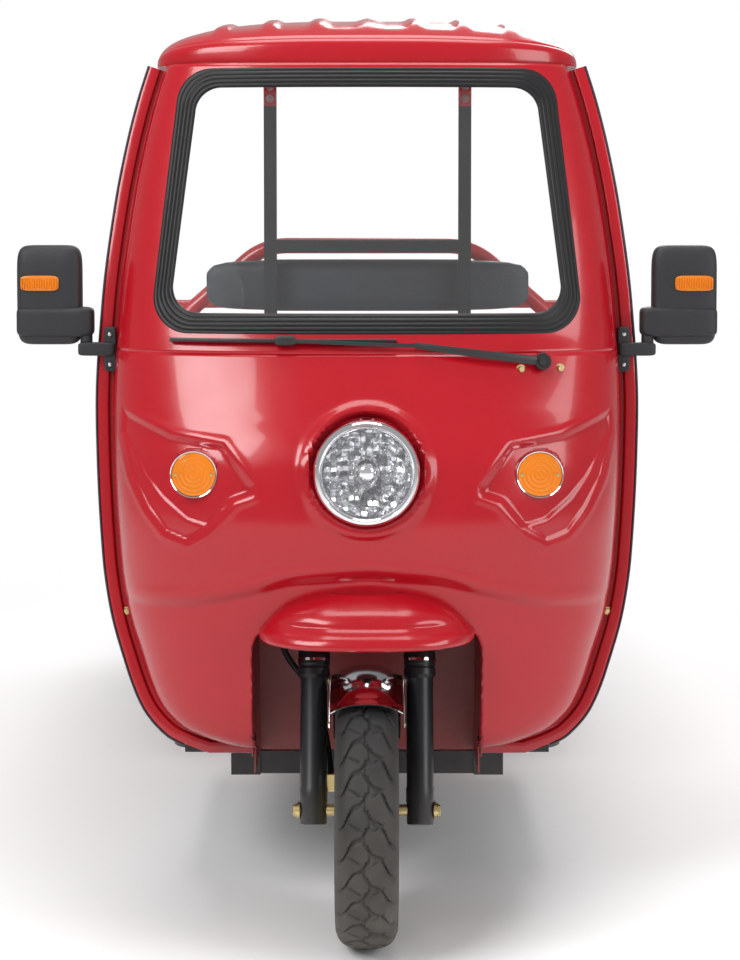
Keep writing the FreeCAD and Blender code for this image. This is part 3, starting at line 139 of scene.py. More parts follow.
# ------------------------------------------------------------------ mesh building
def grid(points, close_u=False, close_v=False):
    """Quads over a two-parameter array of points; either direction may close on itself."""
    points = np.asarray(points, float)
    index = np.arange(points.shape[0] * points.shape[1]).reshape(points.shape[:2])
    if close_u:
        index = np.vstack([index, index[:1]])
    if close_v:
        index = np.hstack([index, index[:, :1]])
    quads = np.stack([index[:-1, :-1], index[1:, :-1], index[1:, 1:], index[:-1, 1:]], -1).reshape(-1, 4)
    return points.reshape(-1, 3), quads.tolist()


def capped(points):
    """A grid that closes on itself in its second direction, with its first and last rows filled."""
    co, faces = grid(points, close_v=True)
    rows, columns = np.asarray(points).shape[:2]
    faces.append(list(range(columns))[::-1])
    faces.append(list(range((rows - 1) * columns, rows * columns)))
    return co, faces


def lathe(profile, centre, axis, sides=48, hollow=False):
    """(Radius, height) pairs turned about an axis; the ends are closed, or joined to each other if hollow."""
    profile = np.array(profile, float)
    axis = np.array(axis, float) / np.linalg.norm(axis)
    a = np.cross(axis, [0.0, 0.0, 1.0] if abs(axis[2]) < 0.9 else [1.0, 0.0, 0.0])
    a /= np.linalg.norm(a)
    b = np.cross(axis, a)
    turn = np.linspace(0, 2 * PI, sides, endpoint=False)
    ring = np.cos(turn)[:, None] * a + np.sin(turn)[:, None] * b
    points = np.array(centre, float) + profile[:, None, 1:] * axis + profile[:, None, :1] * ring[None]
    return grid(points, close_u=True, close_v=True) if hollow else capped(points)


def signed_power(value, exponent):
    return np.sign(value) * np.abs(value) ** exponent


def pillow(low, high, plan=5.0, height=3.0, upright=2, nu=64, nv=32):
    """A rounded block: a superellipse in plan whose size follows a superellipse along the upright axis."""
    low, high = np.array(low, float), np.array(high, float)
    centre, half = (low + high) / 2, (high - low) / 2
    first, second = [axis for axis in range(3) if axis != upright]
    u = np.linspace(0, 2 * PI, nu, endpoint=False)[None, :]
    v = np.linspace(-PI / 2, PI / 2, nv)[:, None]
    wide = signed_power(np.cos(v), 2 / height)
    points = np.empty((nv, nu, 3))
    points[..., first] = centre[first] + half[first] * wide * signed_power(np.cos(u), 2 / plan)
    points[..., second] = centre[second] + half[second] * wide * signed_power(np.sin(u), 2 / plan)
    points[..., upright] = centre[upright] + half[upright] * signed_power(np.sin(v), 2 / height)
    return capped(points)


def hex_bolt(centre, axis, across, height):
    """A six-sided head with a chamfered top on a thin washer."""
    r = across / math.sqrt(3)
    washer = lathe([(across * 0.85, -1.5), (across * 0.85, 1.5)], centre, axis, 20)
    head = lathe([(r, 1.0), (r, height - 1.5), (r * 0.86, height)], centre, axis, 6)
    return [washer, head]


def flipped_x(patch):
    co, faces = patch
    return co * [-1.0, 1.0, 1.0], [f[::-1] for f in faces]


def placed(name, data):
    """A new object in the scene."""
    obj = bpy.data.objects.new(name, data)
    bpy.context.scene.collection.objects.link(obj)
    return obj


def make(name, patches, material, body, replaces=(), sharp=35.0, recalc=True):
    """One object from a list of (points, faces) in millimetres, its place in its mesh, riding on a body."""
    all_points, all_faces, base = [], [], 0
    for co, faces in patches:
        all_points.append(np.asarray(co, float))
        all_faces += [[i + base for i in f] for f in faces]
        base += len(co)
    mesh = bpy.data.meshes.new(name)
    mesh.from_pydata((np.concatenate(all_points) * MM).tolist(), [], all_faces)
    if recalc:
        work = bmesh.new()
        work.from_mesh(mesh)
        bmesh.ops.remove_doubles(work, verts=work.verts, dist=1e-6)
        bmesh.ops.recalc_face_normals(work, faces=work.faces)
        work.to_mesh(mesh)
        work.free()
    mesh.update()
    mesh.shade_smooth()
    mesh.set_sharp_from_angle(angle=math.radians(sharp))
    obj = placed(name, mesh)
    obj.data.materials.append(material)
    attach(obj, body)
    if replaces:
        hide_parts(*replaces)
    return obj


# ------------------------------------------------------------------ finishes
DUST = (0.30, 0.27, 0.23)


def shader(name):
    """A new material, with its node tree and its main node."""
    material = bpy.data.materials.new(name)
    material.use_nodes = True
    tree = material.node_tree
    principled = next(n for n in tree.nodes if n.type == "BSDF_PRINCIPLED")
    return material, tree, principled


def add(tree, kind, **inputs):
    """A new node with some of its inputs set."""
    node = tree.nodes.new(kind)
    for key, value in inputs.items():
        node.inputs[key.replace("_", " ")].default_value = value
    return node


def on_object(tree, kind, **inputs):
    """A new node that reads the object's own coordinates."""
    place = tree.nodes.new("ShaderNodeTexCoord")
    node = add(tree, kind, **inputs)
    tree.links.new(place.outputs["Object"], node.inputs["Vector"])
    return node


def maths(tree, operation, first, second):
    """One operation on two other nodes' outputs."""
    node = tree.nodes.new("ShaderNodeMath")
    node.operation = operation
    tree.links.new(first, node.inputs[0])
    tree.links.new(second, node.inputs[1])
    return node.outputs["Value"]


def mixed(tree, factor, first, second):
    """A mix of two colours, each a tuple or another node's output."""
    blend = tree.nodes.new("ShaderNodeMix")
    blend.data_type = "RGBA"
    tree.links.new(factor, blend.inputs["Factor"])
    for key, value in (("A", first), ("B", second)):
        if isinstance(value, tuple):
            blend.inputs[key].default_value = value
        else:
            tree.links.new(value, blend.inputs[key])
    return blend.outputs["Result"]


def bumped(tree, principled, height, strength, distance):
    """Small relief on a finish."""
    bump = add(tree, "ShaderNodeBump", Strength=strength, Distance=distance)
    tree.links.new(height, bump.inputs["Height"])
    tree.links.new(bump.outputs["Normal"], principled.inputs["Normal"])


def colour(rgb, scale=1.0):
    return (min(rgb[0] * scale, 1), min(rgb[1] * scale, 1), min(rgb[2] * scale, 1), 1)


def finish(name, rgb, rough, metallic=0.0, coat=0.0, specular=0.5, sheen=0.0, mottle=0.12, mottle_scale=4.0,
           grain=0.1, grain_scale=300.0, cells=False, dust=0.0, dust_top=400.0, rough_spread=0.08):
    """A finish with slow colour drift, fine surface grain, uneven gloss, and dust that thins upwards."""
    material, tree, principled = shader(name)
    link = tree.links.new
    drift = on_object(tree, "ShaderNodeTexNoise", Scale=mottle_scale, Detail=5.0, Roughness=0.6)
    shade = mixed(tree, drift.outputs["Fac"], colour(rgb, 1 - mottle), colour(rgb, 1 + mottle))
    if dust:
        split = on_object(tree, "ShaderNodeSeparateXYZ")
        height = add(tree, "ShaderNodeMapRange", From_Max=dust_top * MM, To_Min=dust, To_Max=0.0)
        link(split.outputs["Z"], height.inputs["Value"])
        patches = on_object(tree, "ShaderNodeTexNoise", Scale=18.0, Detail=8.0, Roughness=0.7)
        amount = maths(tree, "MULTIPLY", height.outputs["Result"], patches.outputs["Fac"])
        shade = mixed(tree, amount, shade, colour(DUST))
    link(shade, principled.inputs["Base Color"])
    gloss = on_object(tree, "ShaderNodeTexNoise", Scale=mottle_scale * 6, Detail=3.0)
    smoothest, roughest = max(rough - rough_spread, 0.02), min(rough + rough_spread, 1)
    spread = add(tree, "ShaderNodeMapRange", To_Min=smoothest, To_Max=roughest)
    link(gloss.outputs["Fac"], spread.inputs["Value"])
    link(spread.outputs["Result"], principled.inputs["Roughness"])
    if cells:
        height = on_object(tree, "ShaderNodeTexVoronoi", Scale=grain_scale).outputs["Distance"]
    else:
        height = on_object(tree, "ShaderNodeTexNoise", Scale=grain_scale, Detail=2.0).outputs["Fac"]
    bumped(tree, principled, height, grain, 0.001)
    principled.inputs["Metallic"].default_value = metallic
    principled.inputs["Coat Weight"].default_value = coat
    principled.inputs["Coat Roughness"].default_value = 0.05
    principled.inputs["Sheen Weight"].default_value = sheen
    principled.inputs["Specular IOR Level"].default_value = specular
    return material


def lens(name, rgb, rough, transmission, alpha, ripple, ripple_scale=60.0):
    """Clear or tinted glass or plastic with a faint ripple in its surface."""
    material, tree, principled = shader(name)
    tint = on_object(tree, "ShaderNodeTexNoise", Scale=9.0, Detail=2.0)
    shade = mixed(tree, tint.outputs["Fac"], colour(rgb, 0.94), colour(rgb))
    tree.links.new(shade, principled.inputs["Base Color"])
    waves = on_object(tree, "ShaderNodeTexNoise", Scale=ripple_scale, Detail=1.0)
    bumped(tree, principled, waves.outputs["Fac"], ripple, 0.0005)
    principled.inputs["Roughness"].default_value = rough
    principled.inputs["Transmission Weight"].default_value = transmission
    principled.inputs["IOR"].default_value = 1.45
    principled.inputs["Alpha"].default_value = alpha
    return material


RED = finish("red_paint", (0.37, 0.004, 0.011), 0.22, coat=0.3, specular=0.35, mottle=0.05, grain=0.015,
             grain_scale=220.0, dust=0.12, dust_top=420.0)
# The wheel well's red is darker than the body's red: painted shade in the recess. The dust on it, thinning
# upwards, is real dust.
RED_WELL_PAINTED_SHADE = finish("red_well_painted_shade", (0.26, 0.006, 0.010), 0.40, mottle=0.15, grain=0.06, dust=0.5,
                  dust_top=700.0)
BLACK = finish("black_powder_coat", (0.012, 0.012, 0.014), 0.36, specular=0.35, mottle=0.2, grain=0.12,
               grain_scale=500.0, dust=0.5, dust_top=350.0)
WHEEL_BLACK = finish("wheel_paint", (0.022, 0.022, 0.024), 0.3, coat=0.3, grain=0.08, dust=0.6,
                     dust_top=420.0)
CHROME = finish("chrome_plate", (0.78, 0.78, 0.8), 0.08, metallic=1.0, mottle=0.05, grain=0.01,
                rough_spread=0.03)
ZINC = finish("yellow_zinc", (0.62, 0.5, 0.24), 0.32, metallic=1.0, mottle=0.25, mottle_scale=40.0,
              grain=0.05)
STEEL = finish("bright_steel", (0.5, 0.5, 0.5), 0.3, metallic=1.0, grain=0.06)
SPRING = finish("spring_steel", (0.05, 0.048, 0.045), 0.5, metallic=0.6, mottle=0.3, grain=0.15, dust=0.5)
RUBBER = finish("seal_rubber", (0.008, 0.008, 0.009), 0.45, specular=0.3, mottle=0.15, grain_scale=700.0)
EDGE_RUBBER = finish("edge_rubber", (0.03, 0.035, 0.05), 0.5, mottle=0.15, grain_scale=700.0)
TYRE = finish("tyre_rubber", (0.011, 0.011, 0.012), 0.62, specular=0.3, mottle=0.3, mottle_scale=12.0,
              grain=0.25, grain_scale=900.0, dust=0.5, dust_top=500.0)
GREY_PLASTIC = finish("grained_grey_plastic", (0.020, 0.020, 0.022), 0.5, specular=0.35, mottle=0.1,
                      grain=0.35, grain_scale=700.0, cells=True)
BLACK_PLASTIC = finish("black_plastic", (0.016, 0.016, 0.017), 0.42, mottle=0.1, grain=0.2,
                       grain_scale=800.0, cells=True)
VINYL = finish("seat_vinyl", (0.016, 0.020, 0.027), 0.42, specular=0.35, sheen=0.1, mottle=0.15, grain=0.5,
               grain_scale=420.0, cells=True)
MIRROR = finish("mirror_silver", (0.85, 0.86, 0.88), 0.03, metallic=1.0, mottle=0.02, grain=0.0,
                rough_spread=0.01)


def facet_mirror_painted_reflections(name):
    """A bright bowl whose square facets, cells of a regular pattern, carry painted reflections: each cell is
    a different brightness, from dark to bright.
    """
    material, tree, principled = shader(name)
    cells = on_object(tree, "ShaderNodeTexVoronoi", Scale=95.0, Randomness=0.25)
    cells.distance = "CHEBYCHEV"
    split = tree.nodes.new("ShaderNodeSeparateColor")
    tree.links.new(cells.outputs["Color"], split.inputs["Color"])
    # Painted reflection: each facet's base colour, dark to bright, stands in for what its tilted face would
    # mirror.
    painted_reflection_tone = mixed(tree, split.outputs["Red"], (0.10, 0.11, 0.13, 1), (0.86, 0.87, 0.9, 1))
    tree.links.new(painted_reflection_tone, principled.inputs["Base Color"])
    principled.inputs["Metallic"].default_value = 1.0
    principled.inputs["Roughness"].default_value = 0.14
    return material


REFLECTOR = facet_mirror_painted_reflections("lamp_reflector_painted_reflections")
GLASS = lens("clear_glass", (0.97, 0.99, 0.98), 0.02, 0.0, 0.02, 0.02)
LAMP_GLASS = lens("lamp_glass", (0.98, 0.98, 0.98), 0.02, 0.0, 0.05, 0.05)
AMBER = lens("amber_lens", (0.95, 0.27, 0.01), 0.12, 0.35, 1.0, 0.25, 300.0)
TAIL_RED = lens("red_lens", (0.75, 0.01, 0.012), 0.12, 0.3, 1.0, 0.25, 300.0)

SLOT_FINISH = {"red_paint": RED, "black_paint": BLACK, "wheel_paint": WHEEL_BLACK, "chrome": CHROME,
               "zinc_steel": ZINC, "spring_steel": SPRING, "glass": GLASS, "rubber": RUBBER, "tyre": TYRE,
               "amber_lens": AMBER, "red_lens": TAIL_RED, "grey_plastic": GREY_PLASTIC,
               "black_plastic": BLACK_PLASTIC, "cushion_cover": VINYL}
NODE_FINISH = {"wheel_well": RED_WELL_PAINTED_SHADE, "edge_trim": EDGE_RUBBER}
for entry in frame["record"]["subparts"]:
    node = frame["nodes"][entry["node"]]
    node.data.materials.clear()
    node.data.materials.append(NODE_FINISH.get(entry["node"], SLOT_FINISH[entry["material_slot"]]))


# ------------------------------------------------------------------ cab front
def inside_polygon(x, z, corners):
    """Signed distance to a closed outline in the front view: negative inside."""
    corners = np.array(corners, float)
    distance = np.full(np.shape(x), 1e9)
    inside = np.zeros(np.shape(x), bool)
    for a, b in zip(corners, np.roll(corners, -1, axis=0)):
        edge = b - a
        t = np.clip(((x - a[0]) * edge[0] + (z - a[1]) * edge[1]) / (edge @ edge), 0, 1)
        distance = np.minimum(distance, np.hypot(x - a[0] - t * edge[0], z - a[1] - t * edge[1]))
        crosses = (a[1] > z) != (b[1] > z)
        with np.errstate(divide="ignore", invalid="ignore"):
            at_x = a[0] + (z - a[1]) * edge[0] / (edge[1] if edge[1] else 1e-9)
        inside ^= crosses & (x < at_x)
    return np.where(inside, -distance, distance)


SIGNAL_HOLLOW = [(462, 992), (362, 952), (262, 938), (206, 866), (206, 846), (244, 832), (290, 776),
                 (330, 752), (376, 768), (412, 812), (444, 868), (466, 944)]
SIGNAL_LEDGE = [(470, 950), (452, 944), (408, 872), (376, 836), (330, 800), (290, 790), (250, 770),
                (330, 720), (420, 740), (480, 850)]
RIDGE = [(0, 711), (130, 700), (225, 672), (330, 650), (440, 642), (500, 640)]


def relief(x, z):
    """How far the pressed features stand back (+) or proud (-) of the plain panel, in millimetres."""
    side = np.abs(x)
    hollow = inside_polygon(side, z, SIGNAL_HOLLOW)
    depth = 10.0 * (1 - ease(hollow, -13.0, 2.0))
    depth -= 2.2 * np.exp(-((hollow - 6.0) / 5.0) ** 2)
    ledge = inside_polygon(side, z, SIGNAL_LEDGE)
    depth -= 4.5 * (1 - ease(ledge, -6.0, 3.0)) * (1 - ease(hollow, -6.0, 0.0))
    ridge_z = smooth(RIDGE, side)
    below = z - ridge_z
    depth += 9.0 * (1 - ease(below, -22.0, 0.0)) * ease(z, 380.0, 540.0) * (1 - ease(side, 430.0, 480.0))
    depth -= 3.0 * np.exp(-((below - 8.0) / 11.0) ** 2) * (1 - ease(side, 380.0, 470.0))
    lamp = np.hypot(x, z - LAMP_Z)
    depth -= 9.0 * np.exp(-((lamp - 112.0) / 9.0) ** 2)
    depth += 12.0 * (1 - ease(lamp, 96.0, 106.0))
    return depth


def screen_hole(x, z, inset):
    """Signed distance to the windscreen's rounded trapezoid, made smaller by the inset."""
    low, high = SCREEN["low"] + inset, SCREEN["high"] - inset
    share = (z - SCREEN["low"]) / (SCREEN["high"] - SCREEN["low"])
    half = SCREEN["half_low"] + (SCREEN["half_high"] - SCREEN["half_low"]) * share - inset
    radius = SCREEN["corner"] - inset / 2
    dx = np.abs(x) - (half - radius)
    dz = np.abs(z - (low + high) / 2) - ((high - low) / 2 - radius)
    return np.hypot(np.maximum(dx, 0), np.maximum(dz, 0)) + np.minimum(np.maximum(dx, dz), 0) - radius


def past_corner(x, z):
    """How far a point is outwards and upwards of the centre of the wheel opening's rounded top corner."""
    return np.hypot(np.maximum(np.abs(x) - CORNER_X, 0), np.maximum(z - CORNER_Z, 0))


def skin_rows(z, columns):
    """Points of the skin at given heights: x is a half width times a power of the sine, y the relieved bow.

    Columns and rows near the wheel opening's edge are pulled onto it, so that it is cut cleanly.
    """
    angle = np.linspace(-PI / 2, PI / 2, columns)[None, :]
    sine = np.sin(angle)
    z = np.asarray(z, float)[:, None]
    x = panel_half(z) * np.sign(sine) * np.abs(sine) ** (2 / CROSS_POWER)
    z = np.broadcast_to(z, x.shape).copy()
    beside = (np.abs(np.abs(x) - OPENING_HALF) < 3.2) & (z < CORNER_Z)
    x = np.where(beside, np.sign(x) * OPENING_HALF, x)
    arch = past_corner(x, z)
    pull = (np.abs(arch - OPENING_CORNER) < 3.0) & (z > CORNER_Z)
    factor = np.where(pull, OPENING_CORNER / np.maximum(arch, 1e-6), 1.0)
    outer = pull & (np.abs(x) > CORNER_X)
    x = np.where(outer, np.sign(x) * (CORNER_X + (np.abs(x) - CORNER_X) * factor), x)
    z = np.where(pull, CORNER_Z + (z - CORNER_Z) * factor, z)
    return np.stack([x, panel_y(x, z) + relief(x, z), z], -1)


def kept_faces(co, faces):
    """Quads that lie outside the windscreen, the wheel opening and the lamp holes."""
    cx, cz = co[faces, 0].mean(1), co[faces, 2].mean(1)
    corner = (past_corner(cx, cz) > OPENING_CORNER) & (cz > CORNER_Z)
    keep = (np.abs(cx) >= OPENING_HALF) | (cz >= OPENING_TOP) | corner
    keep &= screen_hole(cx, cz, SCREEN_LAP) > 0
    keep &= np.hypot(cx, cz - LAMP_Z) > LAMP_HOLE
    keep &= np.hypot(np.abs(cx) - SIGNAL_X, cz - SIGNAL_Z) > SIGNAL_HOLE
    return faces[keep].tolist()


def walled(name, co, faces, thickness, sharp=50.0, replaces=()):
    """A painted skin, thickened on its inner side."""
    obj = make(name, [(co, faces)], RED, "chassis", replaces, sharp=sharp, recalc=False)
    solid = obj.modifiers.new("wall", "SOLIDIFY")
    solid.thickness = thickness * MM
    solid.offset = -1.0
    return obj


def cab_front():
    """The skin in two heights that meet on one row; the lower one's first rows turn back to the brim."""
    low = np.concatenate([np.linspace(PANEL_LOW, 560, 34), np.linspace(560, 1000, 112)[1:],
                          np.linspace(1000, FRONT_SKIN_JOIN, 16)[1:]])
    rows = skin_rows(low, 251)
    under = []
    for share in (1.0, 0.75, 0.5, 0.25, 0.08):
        row = rows[0].copy()
        row[:, 1] += (side_edge(318.0) - 3.0 - row[:, 1]) * share
        row[:, 2] = PANEL_LOW - 5.0 * (1 - (1 - share) ** 4)
        under.append(row)
    co, faces = grid(np.concatenate([np.array(under), rows]))
    walled("cab_front_panel", co, kept_faces(co, np.array(faces)), SKIN, replaces=["front_shell"])
    co, faces = grid(skin_rows(np.linspace(FRONT_SKIN_JOIN, 1655, 86), 251))
    walled("cab_screen_surround", co, kept_faces(co, np.array(faces)), SKIN)


def brim_path():
    """The outer edge of the side opening, from the roof down round the corner to the wheel opening."""
    z = np.concatenate([np.linspace(1655, 560, 60), np.linspace(560, 330, 70)[1:],
                        np.linspace(330, 316.5, 8)[1:]])
    side = np.stack([outline(z), side_edge(z), z], -1)
    x = np.linspace(side[-1, 0] - 6.0, OPENING_HALF + 2.0, 12)
    return np.concatenate([side, np.stack([x, np.full(12, side[-1, 1]), np.full(12, z[-1])], -1)])


def swept(path, inward, profile):
    """A closed (inwards, forwards) profile carried along a path, with its twin on the other side."""
    profile = np.array(profile, float)
    rows = path[:, None, :] + profile[None, :, :1] * inward[:, None, :]
    side = capped(rows - np.array([0, 1.0, 0]) * profile[None, :, 1:])
    return [side, flipped_x(side)]


def cab_brim():
    """The flange, with its lip, groove and ridge, the rubber on its edge, and a bolt low on each side."""
    path = brim_path()
    along = np.gradient(path, axis=0)
    inward = np.stack([along[:, 2], np.zeros(len(path)), -along[:, 0]], -1)
    inward /= np.linalg.norm(inward, axis=1)[:, None]
    flange = swept(path, inward, [(0, 0), (0, 10), (1.5, 13), (4, 14), (18, 14), (21, 13), (23, 9), (24, 3),
                                  (30, 3), (31, 7), (33, 11), (36, 13), (40, 13), (43, 9), (44, 0)])
    make("cab_brim", flange, RED, "chassis", sharp=40.0)
    upright = path[:, 2] > 330.0
    strip = swept(path[upright], inward[upright],
                  [(0.2, 2), (0.2, 12), (-1.0, 13.5), (-2.6, 13.5), (-3.8, 12), (-3.8, 2), (-2.6, 0.5),
                   (-1, 0.5)])
    make("brim_edge_rubber", strip, EDGE_RUBBER, "chassis", ["edge_trim"], sharp=40.0)
    bolt_z = 587.0
    place = np.array([float(outline(bolt_z)) - 27.0, float(side_edge(bolt_z)) - 4.0, bolt_z])
    bolts = hex_bolt(place, (0, -1, 0), 9.0, 6.0) + hex_bolt(place * [-1, 1, 1], (0, -1, 0), 9.0, 6.0)
    make("brim_bolts", bolts, ZINC, "chassis")


def screen_line(inset):
    """Points in the front view round the windscreen's outline at one inset, evenly spaced along it."""
    low, high = SCREEN["low"] + inset, SCREEN["high"] - inset
    radius = SCREEN["corner"] - inset / 2
    half_low, half_high = SCREEN["half_low"] - inset, SCREEN["half_high"] - inset
    centres = [(half_high - radius, high - radius), (-(half_high - radius), high - radius),
               (-(half_low - radius), low + radius), (half_low - radius, low + radius)]
    points = []
    for k, (cx, cz) in enumerate(centres):
        turn = np.linspace(k * PI / 2, (k + 1) * PI / 2, 16)
        points.append(np.stack([cx + radius * np.cos(turn), cz + radius * np.sin(turn)], -1))
    line = np.concatenate(points + [points[0][:1]])
    length = np.concatenate([[0], np.cumsum(np.linalg.norm(np.diff(line, axis=0), axis=1))])
    even = np.linspace(0, length[-1], 360, endpoint=False)
    return np.interp(even, length, line[:, 0]), np.interp(even, length, line[:, 1])


def screen_seal():
    """Ribbed rubber: a row of half-round ribs across, carried round the outline of the glass."""
    columns = []
    for share in np.linspace(0, 1, 41):
        x, z = screen_line(SEAL_WIDTH * share)
        rib = 5.2 * np.sin(PI * share) ** 0.35 + 1.7 * np.abs(np.sin(5 * PI * share))
        columns.append(np.stack([x, panel_y(x, z) - rib, z], -1))
    for share, behind in ((1.0, 9.0), (0.5, 9.0), (0.0, 1.0)):
        x, z = screen_line(SEAL_WIDTH * share)
        columns.append(np.stack([x, panel_y(x, z) + behind, z], -1))
    make("windscreen_rubber", [grid(np.array(columns), close_u=True, close_v=True)], RUBBER, "chassis",
         ["windscreen_seal"], sharp=50.0)


def cowl():
    """The hood over the fork: level bows between a rounded top and a rolled lip, with a crease between.

    Each station is a height, a half width and the front's place back from the axle.
    """
    stations = [(576.0, 195.0, -128.0), (580.0, 198.0, -131.0), (590.0, 198.0, -127.0),
                (600.0, 190.0, -118.0), (612.0, 181.0, -110.0), (630.0, 162.0, -98.0),
                (648.0, 128.0, -78.0), (664.0, 72.0, -58.0)]
    z = np.linspace(576.0, 664.0, 45)
    half = smooth([(a, b) for a, b, _ in stations], z)[:, None]
    front = FRONT_AXLE_Y + smooth([(a, c) for a, _, c in stations], z)[:, None]
    angle = np.linspace(-PI / 2, PI / 2, 121)[None, :]
    sine, cosine = np.sin(angle), np.abs(np.cos(angle))
    x = half * np.sign(sine) * np.abs(sine) ** 0.8
    back = nose(z)[:, None] + 38.0
    y = back - (back - front) * cosine**0.8
    crease = 3.0 * np.exp(-((z[:, None] - 611.0) / 5.0) ** 2) * cosine
    dimple = 6.0 * np.exp(-((np.abs(x) - 118.0) / 34.0) ** 2 - ((z[:, None] - 606.0) / 14.0) ** 2)
    y = y + crease + dimple
    z = np.broadcast_to(z[:, None], x.shape)
    co, faces = grid(np.stack([x, y, z], -1))
    walled("fork_hood", co, faces, 3.0, 60.0, ["nose_cowl"])


def roof():
    """Height over the cab's top edge = a lengthwise crest times a superellipse across, plus seven soft ribs.

    Lengthwise the rows are at fixed distances behind a front edge that is itself a superellipse in plan.
    """
    half, length_flat, foremost, bow, rearmost = 421.0, 1090.0, 400.0, 158.0, 1330.0
    stations = np.array([(0, 0), (-1.0, 10), (-0.5, 22), (1, 34), (5, 43), (12, 50), (24, 58), (50, 71),
                         (100, 83), (160, 91), (260, 103), (360, 110), (610, 120), (850, 121),
                         (length_flat, 121)], float)
    length = np.concatenate([[0], np.cumsum(np.linalg.norm(np.diff(stations, axis=0), axis=1))])
    where = np.concatenate([np.linspace(0, length[6], 30), np.linspace(length[6], length[-1], 90)[1:]])
    back = smooth(list(zip(length, stations[:, 0])), where)[:, None]
    rise = smooth(list(zip(length, stations[:, 1])), where)[:, None]
    turn = np.linspace(-PI / 2, PI / 2, 241)[None, :]
    x = half * signed_power(np.sin(turn), 2 / 3.0) + 0 * back
    arch = np.abs(np.cos(turn)) ** (2 / 3.4)
    edge = foremost - bow * (1 - np.clip(np.abs(x) / half, 0, 1) ** 2.5) ** 0.4
    distance = edge + (rearmost - edge) * back / length_flat
    rib = np.zeros(x.shape)
    for i in range(-3, 4):
        rib += np.exp(-((x - 96.0 * i) / 17.0) ** 4)
    rib *= 7.0 * ease(back, 30.0, 90.0) * (1 - ease(back, 1010.0, 1060.0))
    seam = 1.6 * np.exp(-((rise - 51.0) / 2.5) ** 2)
    z = 1655.5 + rise * arch + (rib - seam) * np.clip(arch * 1.6 - 0.4, 0, 1)
    co, faces = grid(np.stack([x, FRONT_AXLE_Y + distance, z], -1)[:, ::-1])
    walled("roof_skin", co, faces, WALL, 60.0, ["roof_shell"])
    tabs, bolts = [], []
    for side in (-1, 1):
        tabs.append(pillow((side * 233 - 15, -144, 1622), (side * 233 + 15, -140.2, 1770), 9, 9))
        for z0 in (1640.0, 1668.0):
            bolts += hex_bolt((side * 233.0, -144.0, z0), (0, -1, 0), 11.0, 6.0)
    make("roof_post_tabs", tabs, RED, "chassis")
    make("roof_post_bolts", bolts, STEEL, "chassis")


def off_panel(x, z, gap):
    """Points a gap in front of the plain panel."""
    return np.stack([x, panel_y(x, z) - gap, z], -1)


def flat_bar(path, wide, deep):
    """A bar with a soft oblong section in the plane across the cab, carried along a path."""
    turn = np.linspace(0, 2 * PI, 12, endpoint=False)
    wide = np.broadcast_to(wide, (len(path),))[:, None]
    ring = np.stack([np.zeros((len(path), 12)), deep * signed_power(np.sin(turn), 0.6)[None] + 0 * wide,
                     wide * signed_power(np.cos(turn), 0.6)[None]], -1)
    return capped(path[:, None, :] + ring)


def wiper():
    """A flat arm that tapers to a thin rod, and a blade that follows the panel's bow below the seal."""
    foot = off_panel(np.array([329.0]), np.array([1087.0]), 10.0)[0]
    share = np.linspace(0, 1, 30)
    x, z = 329.0 - 240.0 * share, 1087.0 + 31.0 * share
    arm = off_panel(x, z, 20.0 + 6 * np.sin(PI * share))
    thin_x = np.linspace(89.0, -172.0, 40)
    thin = off_panel(thin_x, 1118.0 + 8.0 * ease(thin_x, 89.0, -172.0), 22.0)
    blade_x = np.linspace(-372.0, 56.0, 90)
    blade_z = np.full(90, 1126.0)
    spine = off_panel(blade_x, blade_z, 16.0)
    lip = off_panel(blade_x, blade_z - 1.0, 8.0)
    adapter = pillow((-172, spine[40, 1] - 14, 1117), (-132, spine[40, 1] + 4, 1135), 6, 4)
    patches = [flat_bar(arm, 9.0 - 3.0 * share, 4.5), flat_bar(thin, 4.0, 2.0), flat_bar(spine, 3.6, 3.2),
               flat_bar(lip, 1.4, 6.5), adapter,
               lathe([(15, -18), (16, -14), (16, -2), (13, 4), (11, 12)], foot, (0, 1, 0), 32),
               lathe([(7, -26), (9, -22), (9, -16)], foot, (0, 1, 0), 24)]
    make("wiper_arm_and_blade", patches, BLACK_PLASTIC, "chassis", ["wiper"])
    bolts = []
    for x in (288.0, 363.0):
        place = off_panel(np.array([x]), np.array([1072.0]), 1.0)[0]
        bolts += hex_bolt(place, (0.3, -1, 0), 11.0, 7.0)
    make("wiper_base_bolts", bolts, ZINC, "chassis")


